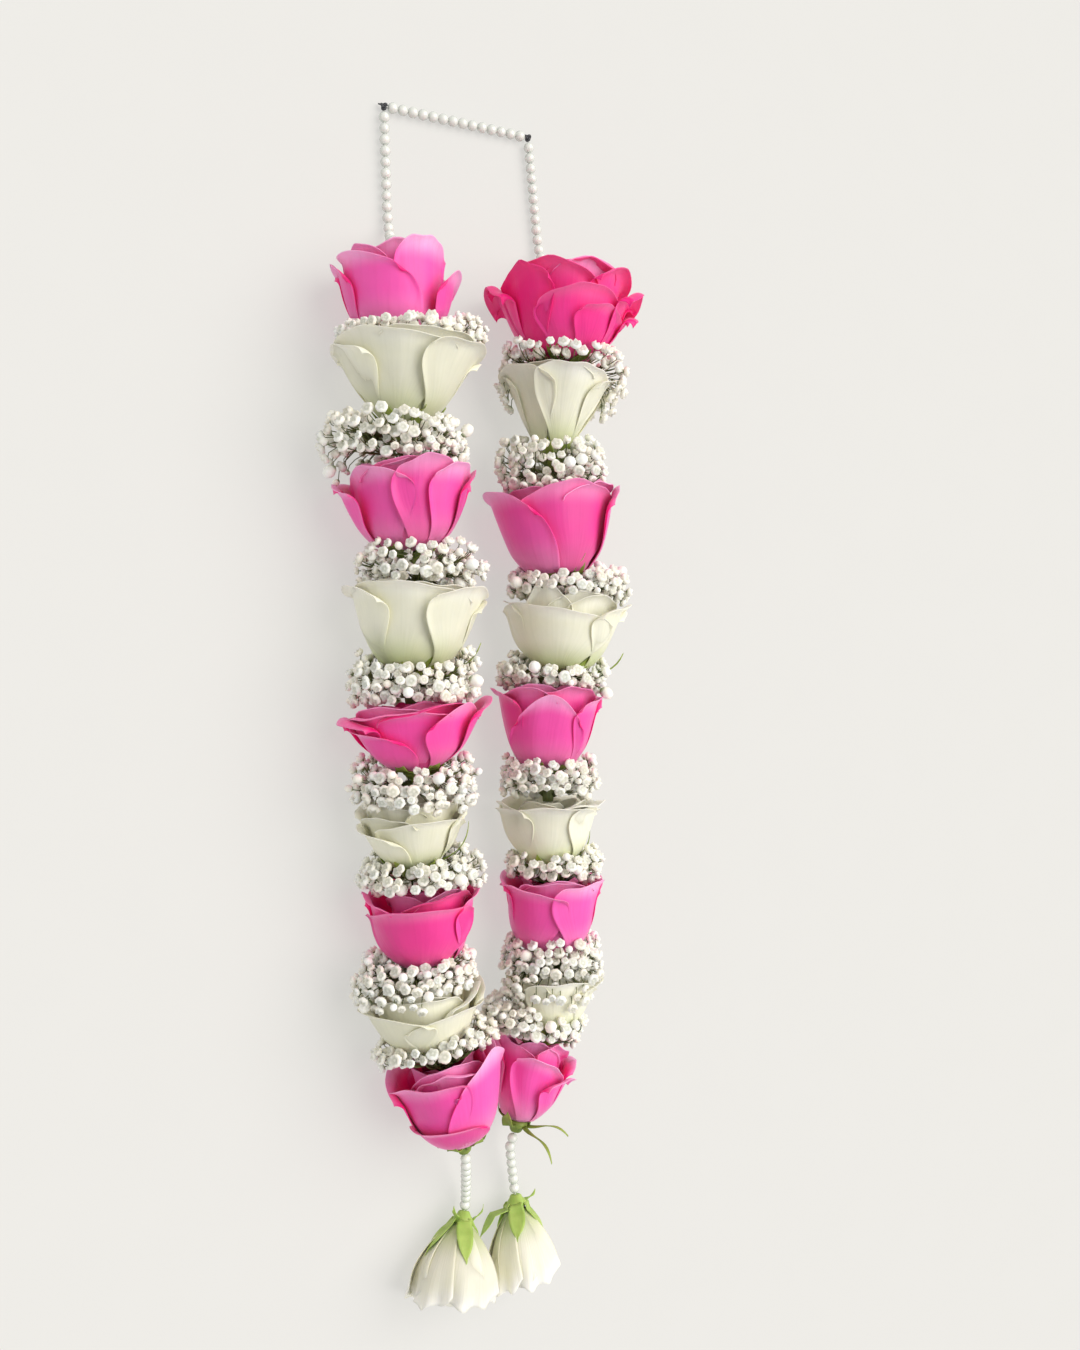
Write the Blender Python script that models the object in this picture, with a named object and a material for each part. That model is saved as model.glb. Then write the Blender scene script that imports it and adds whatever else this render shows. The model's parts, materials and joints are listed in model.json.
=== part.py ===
# Rose garland lying on a surface: two strands of nine roses with gypsophila collars,
# a bead handle at +Y and two hanging white flowers at -Y. Sizes are in millimetres.
import math
import random

import bpy
import numpy as np
from mathutils import Vector
from mathutils.bvhtree import BVHTree

MM = 0.001
petalThick = 0.9
gap = 0.3
threadRadius = 0.75
holeRadius = 1.2
beadRadius = 2.95
beadPitch = 5.7
calyxHeight = 6.0
floretRadius = 4.7
stemRadius = 0.7
restDepth = 0.9

# name: x of the head's middle, y of the petals' base, y of the rim, rim radius, colour,
# sideways lean of the mouth, how much higher than its own rest the axis runs
roseRows = {
    "left_rose_1": (-43.6, 156.5, 202.6, 28.0, "pink", -1.0, 0.0),
    "left_rose_2": (-42.2, 115.1, 157.3, 36.0, "white", 1.0, 0.0),
    "left_rose_3": (-39.3, 58.3, 101.0, 30.5, "pink", -1.0, 0.0),
    "left_rose_4": (-35.7, 1.4, 44.2, 30.5, "white", 2.0, 0.0),
    "left_rose_5": (-36.3, -44.9, -10.4, 33.0, "pink", -2.0, 0.0),
    "left_rose_6": (-35.2, -92.2, -57.3, 26.0, "white", -1.0, 2.0),
    "left_rose_7": (-28.6, -138.5, -99.6, 26.0, "pink", -2.5, 0.0),
    "left_rose_8": (-28.4, -179.9, -143.9, 28.5, "white", -3.0, 0.0),
    "left_rose_9": (-15.5, -224.9, -176.5, 27.5, "pink", -6.5, 2.5),
    "right_rose_1": (41.7, 155.3, 202.2, 35.0, "pink", 1.0, 0.0),
    "right_rose_2": (39.9, 109.2, 153.5, 29.0, "white", 2.0, 0.0),
    "right_rose_3": (40.5, 48.8, 97.0, 30.5, "pink", -2.0, 0.0),
    "right_rose_4": (45.0, 1.5, 43.0, 29.5, "white", 1.0, 0.0),
    "right_rose_5": (38.6, -47.0, -3.5, 26.0, "pink", 1.0, 0.0),
    "right_rose_6": (39.0, -96.4, -60.9, 23.5, "white", 0.0, 1.0),
    "right_rose_7": (41.0, -139.8, -100.1, 23.5, "pink", 1.0, 0.0),
    "right_rose_8": (40.6, -180.5, -147.5, 22.0, "white", 2.0, 1.0),
    "right_rose_9": (29.5, -223.8, -180.4, 19.5, "pink", 6.0, 0.0),
}

# outer petals of each rose: turn in degrees from straight up towards +X, height as a share
# of the head, rim radius as a share of the head's, pointedness of the tip, outward curl in mm
petalRows = {
    "left_rose_1": [(-62, 0.80, 0.86, 0.2, 1), (6, 1.0, 0.72, 0.3, 1), (78, 0.66, 1.06, 0.8, 4),
                    (148, 0.86, 0.9, 0.3, 3), (-130, 0.88, 1.02, 0.6, 4)],
    "left_rose_2": [(-98, 0.86, 1.04, 0.7, 5), (-28, 0.93, 0.98, 0.2, 4), (44, 1.0, 1.0, 0.2, 4),
                    (116, 0.93, 1.0, 0.4, 5), (188, 0.93, 1.0, 0.2, 4)],
    "left_rose_3": [(-104, 0.72, 1.12, 0.9, 5), (-48, 0.86, 0.9, 0.3, 2), (14, 1.0, 0.9, 0.2, 3),
                    (74, 0.84, 1.0, 0.5, 4), (138, 0.9, 1.0, 0.3, 4), (-160, 0.88, 1.0, 0.3, 4)],
    "left_rose_4": [(-100, 0.93, 1.06, 0.6, 5), (-34, 0.98, 0.96, 0.1, 3), (38, 1.0, 1.0, 0.2, 4),
                    (110, 0.95, 1.0, 0.3, 4), (184, 0.95, 1.0, 0.2, 3)],
    "left_rose_5": [(-106, 0.92, 1.08, 0.8, 5), (-66, 0.8, 0.98, 0.3, 3), (-8, 0.98, 0.9, 0.2, 2),
                    (56, 0.94, 1.02, 0.3, 3), (118, 0.95, 1.04, 0.4, 4), (-168, 0.92, 1.0, 0.3, 4)],
    "left_rose_6": [(-104, 0.8, 1.1, 0.8, 5), (-34, 0.92, 0.95, 0.3, 3), (38, 1.0, 0.98, 0.3, 4),
                    (112, 0.95, 1.0, 0.3, 4), (182, 0.9, 1.0, 0.3, 3)],
    "left_rose_7": [(-84, 0.94, 1.02, 0.3, 3), (-10, 0.9, 0.98, 0.1, 2), (62, 0.95, 0.98, 0.2, 3),
                    (134, 0.98, 1.0, 0.2, 2), (-156, 0.98, 1.0, 0.2, 2)],
    "left_rose_8": [(-96, 0.9, 1.04, 0.4, 5), (-30, 0.86, 1.0, 0.2, 3), (40, 0.96, 0.95, 0.2, 3),
                    (112, 0.98, 0.95, 0.3, 3), (184, 0.95, 1.0, 0.2, 3)],
    "left_rose_9": [(-70, 0.5, 1.0, 0.4, 4), (22, 1.0, 0.94, 0.9, 1), (96, 0.8, 0.8, 0.3, 1),
                    (168, 0.8, 1.0, 0.3, 3), (-122, 0.86, 1.04, 0.6, 4)],
    "right_rose_1": [(-80, 0.78, 1.0, 0.3, 6), (-22, 0.86, 0.9, 0.2, 3), (34, 0.92, 0.98, 0.3, 5),
                     (82, 0.7, 1.06, 0.5, 6), (140, 0.84, 1.0, 0.3, 5), (-150, 0.86, 1.02, 0.3, 5)],
    "right_rose_2": [(-84, 0.96, 1.0, 0.4, 4), (-14, 1.0, 0.96, 0.4, 2), (56, 0.98, 1.0, 0.2, 3),
                     (128, 0.96, 1.0, 0.3, 4), (-156, 0.96, 1.0, 0.3, 4)],
    "right_rose_3": [(-84, 0.95, 1.06, 0.6, 3), (-16, 0.98, 0.88, 0.2, 1), (50, 0.94, 1.02, 0.7, 5),
                     (122, 0.94, 1.0, 0.3, 4), (-156, 0.94, 1.0, 0.3, 4)],
    "right_rose_4": [(-56, 1.08, 0.9, 0.9, 2), (10, 0.86, 0.98, 0.2, 3), (74, 0.94, 1.08, 0.5, 5),
                     (140, 0.94, 1.0, 0.3, 4), (-132, 0.94, 1.0, 0.4, 4)],
    "right_rose_5": [(-88, 0.92, 1.02, 0.3, 3), (-20, 0.98, 0.94, 0.8, 1), (46, 0.84, 1.0, 0.3, 3),
                     (118, 0.95, 1.0, 0.3, 3), (-160, 0.95, 1.0, 0.3, 3)],
    "right_rose_6": [(-72, 0.98, 1.0, 0.1, 2), (0, 0.95, 1.0, 0.1, 2), (72, 0.98, 1.0, 0.1, 2),
                     (144, 1.0, 1.0, 0.1, 2), (-144, 1.0, 1.0, 0.1, 2)],
    "right_rose_7": [(-74, 0.96, 1.0, 0.3, 2), (-4, 1.0, 0.95, 0.2, 2), (66, 0.96, 1.02, 0.2, 3),
                     (138, 0.98, 1.0, 0.2, 2), (-148, 0.98, 1.0, 0.2, 2)],
    "right_rose_8": [(-80, 0.95, 1.0, 0.3, 3), (-8, 1.0, 0.95, 0.2, 2), (64, 0.95, 1.0, 0.3, 3),
                     (136, 0.95, 1.0, 0.3, 3), (-152, 0.95, 1.0, 0.3, 3)],
    "right_rose_9": [(-70, 0.92, 0.88, 0.4, 1), (-4, 0.98, 0.94, 0.3, 2), (60, 0.6, 1.1, 0.5, 5),
                     (132, 0.9, 1.0, 0.3, 2), (-140, 0.85, 0.95, 0.3, 2)],
}

# how a head widens from its base to its rim, as a power of the height: small for a round
# bowl, over one for a trumpet
bowlPower = {"left_rose_1": 0.4, "left_rose_2": 1.45, "left_rose_4": 0.58, "left_rose_5": 0.55,
             "left_rose_6": 0.6, "left_rose_7": 0.42, "right_rose_1": 0.5, "right_rose_2": 0.9,
             "right_rose_3": 0.55, "right_rose_6": 0.62, "right_rose_7": 0.42}

# long sepals that stand clear: turn in degrees, length in mm, splay from the axis in degrees
longSepals = {"left_rose_4": [(74, 34, 56), (96, 25, 68)], "left_rose_6": [(66, 32, 44)],
              "right_rose_4": [(72, 30, 64)], "right_rose_6": [(62, 26, 40), (-112, 18, 52)],
              "right_rose_9": [(20, 24, 118), (60, 22, 92)]}

pendantRows = {
    "left_pendant": ((0.4, -266.0, 9.0), (-13.6, -312.0, 22.6), 21.5, 5),
    "right_pendant": ((28.4, -263.0, 8.0), (31.6, -311.0, 18.9), 18.2, 5),
}
handleCorners = {"left": (-40.6, 280.0, 3.2), "right": (38.5, 280.0, 3.2)}

# x and y where each handle string comes down to the surface
landings = {"left": (-38.5, 217.0), "right": (45.3, 217.0)}

# gypsophila of each gap below a rose: how far out it reaches, how far up its rose it climbs,
# florets, and one turn in degrees where it reaches further, by so many mm
tuftRows = {
    "left_gypsophila_1": (35.0, 16.0, 11, 86, 9.0), "left_gypsophila_2": (31.0, 14.0, 11, -92, 10.0),
    "left_gypsophila_3": (28.0, 10.0, 11, 60, 4.0), "left_gypsophila_4": (31.0, 12.0, 11, 70, 5.0),
    "left_gypsophila_5": (30.0, 13.0, 11, -100, 2.0), "left_gypsophila_6": (29.0, 10.0, 11, 60, 4.0),
    "left_gypsophila_7": (28.0, 12.0, 11, -95, 6.0), "right_gypsophila_1": (32.0, 12.0, 11, 90, 4.0),
    "right_gypsophila_2": (28.0, 15.0, 11, -60, 2.0), "right_gypsophila_3": (29.0, 12.0, 11, 80, 4.0),
    "right_gypsophila_4": (27.0, 10.0, 11, 80, 5.0), "right_gypsophila_5": (26.0, 10.0, 11, -30, 1.0),
    "right_gypsophila_6": (24.0, 9.0, 11, 80, 3.0), "right_gypsophila_7": (23.0, 12.0, 11, -60, 3.0),
}
bottomTuft = {"florets": 20}

finishes = {"pink": ((0.86, 0.09, 0.36), 0.55), "white": ((0.86, 0.84, 0.72), 0.55),
            "calyx": ((0.19, 0.29, 0.05), 0.6), "lime": ((0.42, 0.6, 0.13), 0.6),
            "floret": ((0.87, 0.86, 0.78), 0.6), "pearl": ((0.83, 0.84, 0.8), 0.22),
            "knot": ((0.12, 0.12, 0.13), 0.7)}


def vec(values):
    return np.array(values, dtype=float)


def unit(values):
    values = vec(values)
    return values / np.linalg.norm(values)


def clearScene():
    for thing in list(bpy.data.objects):
        bpy.data.objects.remove(thing)


def finish(name):
    colour, rough = finishes[name]
    found = bpy.data.materials.get(name)
    if found:
        return found
    made = bpy.data.materials.new(name)
    made.use_nodes = True
    shader = made.node_tree.nodes["Principled BSDF"]
    shader.inputs["Base Color"].default_value = (*colour, 1)
    shader.inputs["Roughness"].default_value = rough
    shader.inputs["Metallic"].default_value = 0
    return made


# a head's own frame: origin at the calyx's foot, axis along the thread, turn 0 straight up
class Head:
    def __init__(self, foot, mouth):
        self.foot = vec(foot)
        self.axis = unit(vec(mouth) - self.foot)
        self.up = unit(vec((0, 0, 1)) - self.axis * self.axis[2])
        self.side = np.cross(self.axis, self.up)

    def at(self, turn, out, along):
        a = math.radians(turn)
        across = math.cos(a) * self.up + math.sin(a) * self.side
        return self.foot + self.axis * along + across * out


# a closed tube through points with a radius at each, by a frame carried along the path
def tube(path, radii, sides, start=None):
    path = [vec(p) for p in path]
    count = len(path)
    tangents = []
    for i in range(count):
        before = path[max(i - 1, 0)]
        after = path[min(i + 1, count - 1)]
        tangents.append(unit(after - before))
    first = vec((0, 0, 1)) if start is None else vec(start)
    if abs(np.dot(first, tangents[0])) > 0.95:
        first = vec((1, 0, 0))
    points = []
    for i in range(count):
        first = unit(first - tangents[i] * np.dot(first, tangents[i]))
        second = np.cross(tangents[i], first)
        for k in range(sides):
            a = 2 * math.pi * k / sides
            points.append(path[i] + (first * math.cos(a) + second * math.sin(a)) * radii[i])
    faces = []
    for i in range(count - 1):
        for k in range(sides):
            a = i * sides + k
            b = i * sides + (k + 1) % sides
            faces += [(a, b, b + sides), (a, b + sides, a + sides)]
    last = (count - 1) * sides
    for k in range(1, sides - 1):
        faces += [(0, k + 1, k), (last, last + k, last + k + 1)]
    return np.array(points), faces


def meshObject(name, shape):
    points, faces = shape
    corners = np.array(points)[np.array(faces)]
    if np.einsum("ij,ij->i", corners[:, 0], np.cross(corners[:, 1], corners[:, 2])).sum() < 0:
        faces = [face[::-1] for face in faces]
    mesh = bpy.data.meshes.new(name)
    mesh.from_pydata([tuple(p * MM) for p in points], [], faces)
    mesh.update()
    made = bpy.data.objects.new(name, mesh)
    bpy.context.scene.collection.objects.link(made)
    return made


# one Boolean between an object and a set of shapes, applied, with the shapes then removed
def combine(target, shapes, operation):
    group = bpy.data.collections.new("tools")
    bpy.context.scene.collection.children.link(group)
    for k, shape in enumerate(shapes):
        tool = meshObject("tool", shape)
        bpy.context.scene.collection.objects.unlink(tool)
        group.objects.link(tool)
    step = target.modifiers.new("combine", "BOOLEAN")
    step.operation = operation
    step.operand_type = "COLLECTION"
    step.collection = group
    step.solver = "MANIFOLD"
    graph = bpy.context.evaluated_depsgraph_get()
    graph.update()
    mesh = bpy.data.meshes.new_from_object(target.evaluated_get(graph))
    target.modifiers.clear()
    target.data = mesh
    for tool in list(group.objects):
        bpy.data.objects.remove(tool)
    bpy.data.collections.remove(group)


def pointsOf(thing):
    flat = np.empty(len(thing.data.vertices) * 3, np.float32)
    thing.data.vertices.foreach_get("co", flat)
    return flat.reshape(-1, 3) / MM


def slab(low):
    x0, x1, y0, y1 = -150, 150, -340, 340
    corners = [(x, y, z) for z in (low - 60, low) for y in (y0, y1) for x in (x0, x1)]
    faces = [(0, 2, 3), (0, 3, 1), (4, 5, 7), (4, 7, 6), (0, 1, 5), (0, 5, 4),
             (2, 6, 7), (2, 7, 3), (0, 4, 6), (0, 6, 2), (1, 3, 7), (1, 7, 5)]
    return np.array(corners, dtype=float), faces


solids = {}


def remember(thing):
    points = pointsOf(thing)
    thing.data.calc_loop_triangles()
    faces = [tuple(t.vertices) for t in thing.data.loop_triangles]
    tree = BVHTree.FromPolygons([Vector(p) for p in points], faces)
    solids[thing.name] = (tree, points.min(0), points.max(0))


def blocked(point, need, skip=()):
    for name, (tree, low, high) in solids.items():
        if name in skip or (point < low - need).any() or (point > high + need).any():
            continue
        spot, normal, face, far = tree.find_nearest(Vector(point))
        if spot is None:
            continue
        if far < need or (Vector(point) - spot).dot(normal) < 0:
            return True
    return False


def blockedLine(a, b, need, skip=()):
    steps = max(3, int(np.linalg.norm(b - a) / 1.2))
    return any(blocked(a + (b - a) * k / steps, need, skip) for k in range(steps + 1))


# the closed heart of a bloom, a few-sided solid of revolution that the petals stand out of
def heart(head, rings, sides):
    points = []
    faces = []
    for out, along in rings:
        for k in range(sides):
            points.append(head.at(360 * k / sides, out, along))
    for i in range(len(rings) - 1):
        for k in range(sides):
            a = i * sides + k
            b = i * sides + (k + 1) % sides
            faces += [(a, b + sides, b), (a, a + sides, b + sides)]
    last = (len(rings) - 1) * sides
    for k in range(1, sides - 1):
        faces += [(0, k, k + 1), (last, last + k + 1, last + k)]
    return np.array(points), faces


def boring(head, low, high):
    ends = [head.foot + head.axis * low, head.foot + head.axis * high]
    return tube(ends, [holeRadius, holeRadius], 6)


# turns of a ring's columns: three to a petal, its two edges and its middle, with the next
# petal's raised edge four degrees on from this one's tucked edge
def columnsOf(rows):
    rows = sorted(rows, key=lambda row: row[0])
    found = []
    for k, row in enumerate(rows):
        before = rows[k - 1][0] - (360 if k == 0 else 0)
        after = rows[(k + 1) % len(rows)][0] + (360 if k == len(rows) - 1 else 0)
        lead = (before + row[0]) / 2 + 2
        trail = (row[0] + after) / 2 - 2
        found += [(lead, 1, row), (row[0] + 3, 0, row), (trail, -1, row)]
    return found


# one bloom as a single closed surface about its hole. Each column runs up the outside of the
# outer petals by a power of its height, over the lip, down inside, over the inner petals and the bud, and
# back down the hole. The radius steps down across each petal and the rim dips at its edges
def bloom(name, head, height, radius, budTop):
    power = bowlPower.get(name, 0.48)
    base = calyxHeight
    reach = budTop - base
    columns = columnsOf(petalRows[name])
    points = []
    for turn, edge, row in columns:
        middle, high, rim, tip, curl = row
        top = height * high * (1 - (0.13 + 0.14 * tip) * abs(edge))
        rimOut = rim * radius * (1 - 0.05 * abs(edge)) + 1.5 * edge
        low = (4.6 + 0.5 * edge, base)
        side = []
        for v in (0.0, 0.28, 0.7, 1.0):
            roll = max(0, v - 0.55) / 0.45
            out = low[0] + (rimOut - low[0]) * v ** power + curl * roll * 0.55
            side.append((out, low[1] + (top - low[1]) * v - curl * roll * roll * 0.4))
        inside = []
        for k, (a, b) in enumerate(((1, 2), (2, 3))):
            slope = unit((side[b][0] - side[a][0], side[b][1] - side[a][1]))
            spot = side[3] if k else ((side[1][0] + side[2][0]) / 2, (side[1][1] + side[2][1]) / 2)
            inside.append((spot[0] - slope[1] * petalThick * 1.1, spot[1] + slope[0] * petalThick * 1.1))
        wave = math.cos(math.radians(3 * (turn - columns[0][0]) + 40))
        ring = radius * (0.54 if power < 0.8 else 0.42) + 1.1 * wave
        ringTop = base + reach * (0.9 + 0.06 * wave)
        pit = base + reach * 0.5
        budOut = radius * (0.3 if power < 0.8 else 0.22)
        innerWall = min(inside[0][0] - 2.0, ring + 3.5)
        column = [(holeRadius, base), side[0], side[1], side[2], side[3], inside[1], inside[0],
                  (max(innerWall, ring * 0.9 + 1.0), min(pit, inside[0][1] - 1)),
                  (ring, ringTop), (ring - 1.2, ringTop), (budOut + 1.6, pit + 1.5),
                  (budOut, base + reach * 0.86), (holeRadius, budTop)]
        points.append([head.at(turn, out, along) for out, along in column])
    count = len(points)
    rows = len(points[0])
    faces = []
    for i in range(count):
        for j in range(rows):
            a = i * rows + j
            b = i * rows + (j + 1) % rows
            c = ((i + 1) % count) * rows + (j + 1) % rows
            d = ((i + 1) % count) * rows + j
            faces += [(a, b, c), (a, c, d)]
    return np.array(points).reshape(-1, 3), faces


def heightOf(name):
    row = roseRows[name]
    return row[2] - row[1] + calyxHeight


def axisEnds(name, z, dz=0.0):
    x, base, rim, radius, colour, lean, raised = roseRows[name]
    return (x - lean, base - calyxHeight, z - dz), (x + lean, rim, z + dz)


def buildRoses():
    heads = {}
    rests = {}
    for name, row in roseRows.items():
        head = Head(*axisEnds(name, 0.0))
        shape = bloom(name, head, heightOf(name), row[3], heightOf(name) * 0.7)
        rests[name] = -shape[0][:, 2].min() - restDepth
    for strand in ("left", "right"):
        names = [f"{strand}_rose_{k}" for k in range(1, 10)]
        for k, name in enumerate(names):
            around = [rests[n] for n in names[max(0, k - 1):k + 2]]
            z = max(rests[name], max(around) - 7.0) + roseRows[name][6]
            heads[name] = Head(*axisEnds(name, z))
    for strand in ("left", "right"):
        for k in range(1, 10):
            name = f"{strand}_rose_{k}"
            head = heads[name]
            height = heightOf(name)
            top = height - 3.5
            if k > 1:
                above = heads[f"{strand}_rose_{k - 1}"]
                top = min(top, np.dot(above.foot - head.foot, head.axis) - 6.0)
            head.budTop = top
            head.height = height
            row = roseRows[name]
            made = meshObject(name + "_petals", bloom(name, head, height, row[3], top))
            if pointsOf(made)[:, 2].min() < 0:
                combine(made, [slab(0.0)], "DIFFERENCE")
            made.data.materials.append(finish(row[4]))
            remember(made)
    return heads


# a green calyx as one closed surface about its hole: a small cup whose rim runs out into
# pointed sepals, each splayed just far enough to pass clear of what stands there already
def buildCalyx(name, head, material, length, cup):
    chosen = longSepals.get(name, [])
    taken = [row[0] for row in chosen]
    for k in range(5):
        turn = 22 + 72 * k
        if all(abs((turn - t + 180) % 360 - 180) > 34 for t in taken):
            chosen = chosen + [(turn, length, 50)]
    chosen = sorted(chosen)
    columns = []
    for k, (turn, long, splay) in enumerate(chosen):
        after = chosen[(k + 1) % len(chosen)][0] + (360 if k == len(chosen) - 1 else 0)
        before = chosen[k - 1][0] - (360 if k == 0 else 0)
        sides = ((before + turn) / 2, (turn * 3 + before) / 4, (turn * 3 + after) / 4, (after + turn) / 2)
        tip = (cup * 0.8 + 4.0, 3.6)
        bend = math.radians(80)
        for share, lean in [(f, splay + 6 * n) for f in (1.0, 0.75, 0.5) for n in range(14)]:
            a = math.radians(lean)
            trial = (cup * 0.8 + share * long * math.sin(a), 3.6 + share * long * math.cos(a))
            end = head.at(turn, *trial)
            if end[2] < 1.2 or blockedLine(head.at(turn, cup * 0.95, 4.6), end, 0.6):
                continue
            if any(blockedLine(head.at(side, cup * 1.1, 4.0), end, 0.5) for side in sides):
                continue
            tip = trial
            bend = a
            break
        columns.append((turn, tip, bend))
        columns.append(((turn + after) / 2, None, 0.0))
    points = []
    for turn, tip, bend in columns:
        if tip is None:
            outer = [(cup * 1.1, 2.8), (cup * 1.12, 3.6), (cup * 0.9, 4.5)]
        else:
            under = (tip[0] + 0.8 * math.cos(bend), tip[1] - 0.8 * math.sin(bend))
            outer = [under, tip, (cup * 0.9, 4.5)]
        column = [(holeRadius, 0.0), (2.6, 0.0)] + outer + [(holeRadius, calyxHeight - gap)]
        points.append([head.at(turn, out, along) for out, along in column])
    count = len(points)
    rows = len(points[0])
    faces = []
    for i in range(count):
        for j in range(rows):
            a = i * rows + j
            b = i * rows + (j + 1) % rows
            c = ((i + 1) % count) * rows + (j + 1) % rows
            d = ((i + 1) % count) * rows + j
            faces += [(a, b, c), (a, c, d)]
    made = meshObject(name + "_calyx", (np.array(points).reshape(-1, 3), faces))
    made.data.materials.append(finish(material))
    remember(made)


# points along a polyline every so many mm
def stepsAlong(points, pitch):
    points = [vec(p) for p in points]
    lengths = [np.linalg.norm(b - a) for a, b in zip(points, points[1:])]
    total = sum(lengths)
    count = max(1, round(total / pitch))
    found = []
    for k in range(count + 1):
        left = total * k / count
        for (a, b), long in zip(zip(points, points[1:]), lengths):
            if left <= long + 1e-6:
                found.append(a + (b - a) * left / long)
                break
            left -= long
    return found


# a beaded length as rings along its path: neck, shoulder, shoulder, neck
def beaded(points):
    marks = stepsAlong(points, beadPitch)
    path = []
    radii = []
    for a, b in zip(marks, marks[1:]):
        for share, out in ((0.0, 1.0), (0.27, 2.8), (0.73, 2.8)):
            path.append(a + (b - a) * share)
            radii.append(out)
    path.append(marks[-1])
    radii.append(1.0)
    return path, radii


def curve(points, count):
    found = []
    points = [vec(p) for p in points]
    padded = [2 * points[0] - points[1]] + points + [2 * points[-1] - points[-2]]
    for k in range(1, len(padded) - 2):
        a, b, c, d = padded[k - 1:k + 3]
        for i in range(count):
            t = i / count
            found.append(0.5 * (2 * b + (c - a) * t + (2 * a - 5 * b + 4 * c - d) * t * t
                                + (3 * b - a - 3 * c + d) * t ** 3))
    found.append(points[-1])
    return found


def buildStrings(heads, pendants):
    for strand in ("left", "right"):
        names = [f"{strand}_rose_{k}" for k in range(1, 10)]
        top = heads[names[0]]
        low = heads[names[-1]]
        corner = vec(handleCorners[strand])
        mouth = top.foot + top.axis * (top.budTop + 1.2)
        landing = vec((*landings[strand], 5.4))
        out = unit(corner[:2] - landing[:2])
        marks = [mouth, mouth + top.axis * 5 - vec((0, 0, 1.5)),
                 vec((*(mouth + landing)[:2] / 2, mouth[2] * 0.56)), landing]
        marks += [vec((*(landing[:2] + out * run), 3.1)) for run in (13, 30)]
        rise = curve(marks + [corner - vec((*out * 2.6, 0))], 5)
        upPath, upRadii = beaded(rise)
        foot = low.foot - low.axis * 1.4
        pendant = pendants[strand + "_pendant"]
        end = pendant.foot - pendant.axis * 1.0
        middle = (foot + end) / 2
        middle[2] = 5.0
        fall = curve([end, end - pendant.axis * 6, middle, foot - low.axis * 7, foot], 5)
        downPath, downRadii = beaded(fall)
        path = [pendant.foot + pendant.axis * 4.5]
        radii = [threadRadius]
        path += downPath
        radii += downRadii
        for name in reversed(names):
            head = heads[name]
            path += [head.foot - head.axis * 0.2, head.foot + head.axis * (head.budTop + 0.2)]
            radii += [threadRadius, threadRadius]
        path += upPath
        radii += upRadii
        made = meshObject(strand + "_bead_string", tube(path, radii, 5))
        if pointsOf(made)[:, 2].min() < 0:
            combine(made, [slab(0.0)], "DIFFERENCE")
        made.data.materials.append(finish("pearl"))
        remember(made)
    a = vec(handleCorners["left"])
    b = vec(handleCorners["right"])
    along = unit(b - a)
    path, radii = beaded([a + along * 2.9, b - along * 2.9])
    made = meshObject("top_bead_string", tube(path, radii, 5))
    made.data.materials.append(finish("pearl"))
    remember(made)
    for strand, corner in handleCorners.items():
        rings = [(0.7, -2.1), (1.9, -0.9), (1.9, 0.9), (0.7, 2.1)]
        knot = Head(corner, vec(corner) + vec((0, 0, 1)) + vec((0.001, 0, 0)))
        made = meshObject(strand + "_corner_knot", heart(knot, rings, 6))
        made.data.materials.append(finish("knot"))
        remember(made)


# a hanging white flower: a frilled bell whose rim waves, thick enough to hold its shape
def buildPendants():
    heads = {}
    for name, (foot, rim, radius, waves) in pendantRows.items():
        head = Head(foot, rim)
        head.height = float(np.linalg.norm(vec(rim) - vec(foot)))
        heads[name] = head
        base = calyxHeight
        columns = 20
        outer = [(3.6, base), (0.42 * radius, base + 5), (0.72 * radius, head.height * 0.45),
                 (0.92 * radius, head.height * 0.74), (1.0 * radius, head.height)]
        inner = [(0.94 * radius, head.height - 0.4), (0.5 * radius, head.height * 0.5),
                 (0.12 * radius, head.height * 0.36)]
        points = []
        faces = []
        rings = [(ring, 0.0) for ring in outer] + [(ring, 1.3) for ring in inner]
        for (out, along), inset in rings:
            share = max(0, (along - base) / (head.height - base))
            for k in range(columns):
                turn = 360 * k / columns
                wave = math.cos(math.radians(turn * waves + 20))
                fold = 1 + 0.07 * share * wave
                points.append(head.at(turn, max(1.4, out * fold - inset),
                                      along + 2.4 * share ** 3 * math.cos(math.radians(turn * waves + 95))))
        for i in range(len(rings) - 1):
            for k in range(columns):
                a = i * columns + k
                b = i * columns + (k + 1) % columns
                faces += [(a, b + columns, b), (a, a + columns, b + columns)]
        last = (len(rings) - 1) * columns
        for k in range(1, columns - 1):
            faces += [(0, k, k + 1), (last, last + k + 1, last + k)]
        made = meshObject(name + "_petals", (np.array(points), faces))
        if pointsOf(made)[:, 2].min() < 0:
            combine(made, [slab(0.0)], "DIFFERENCE")
        made.data.materials.append(finish("white"))
        remember(made)
    return heads


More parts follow.
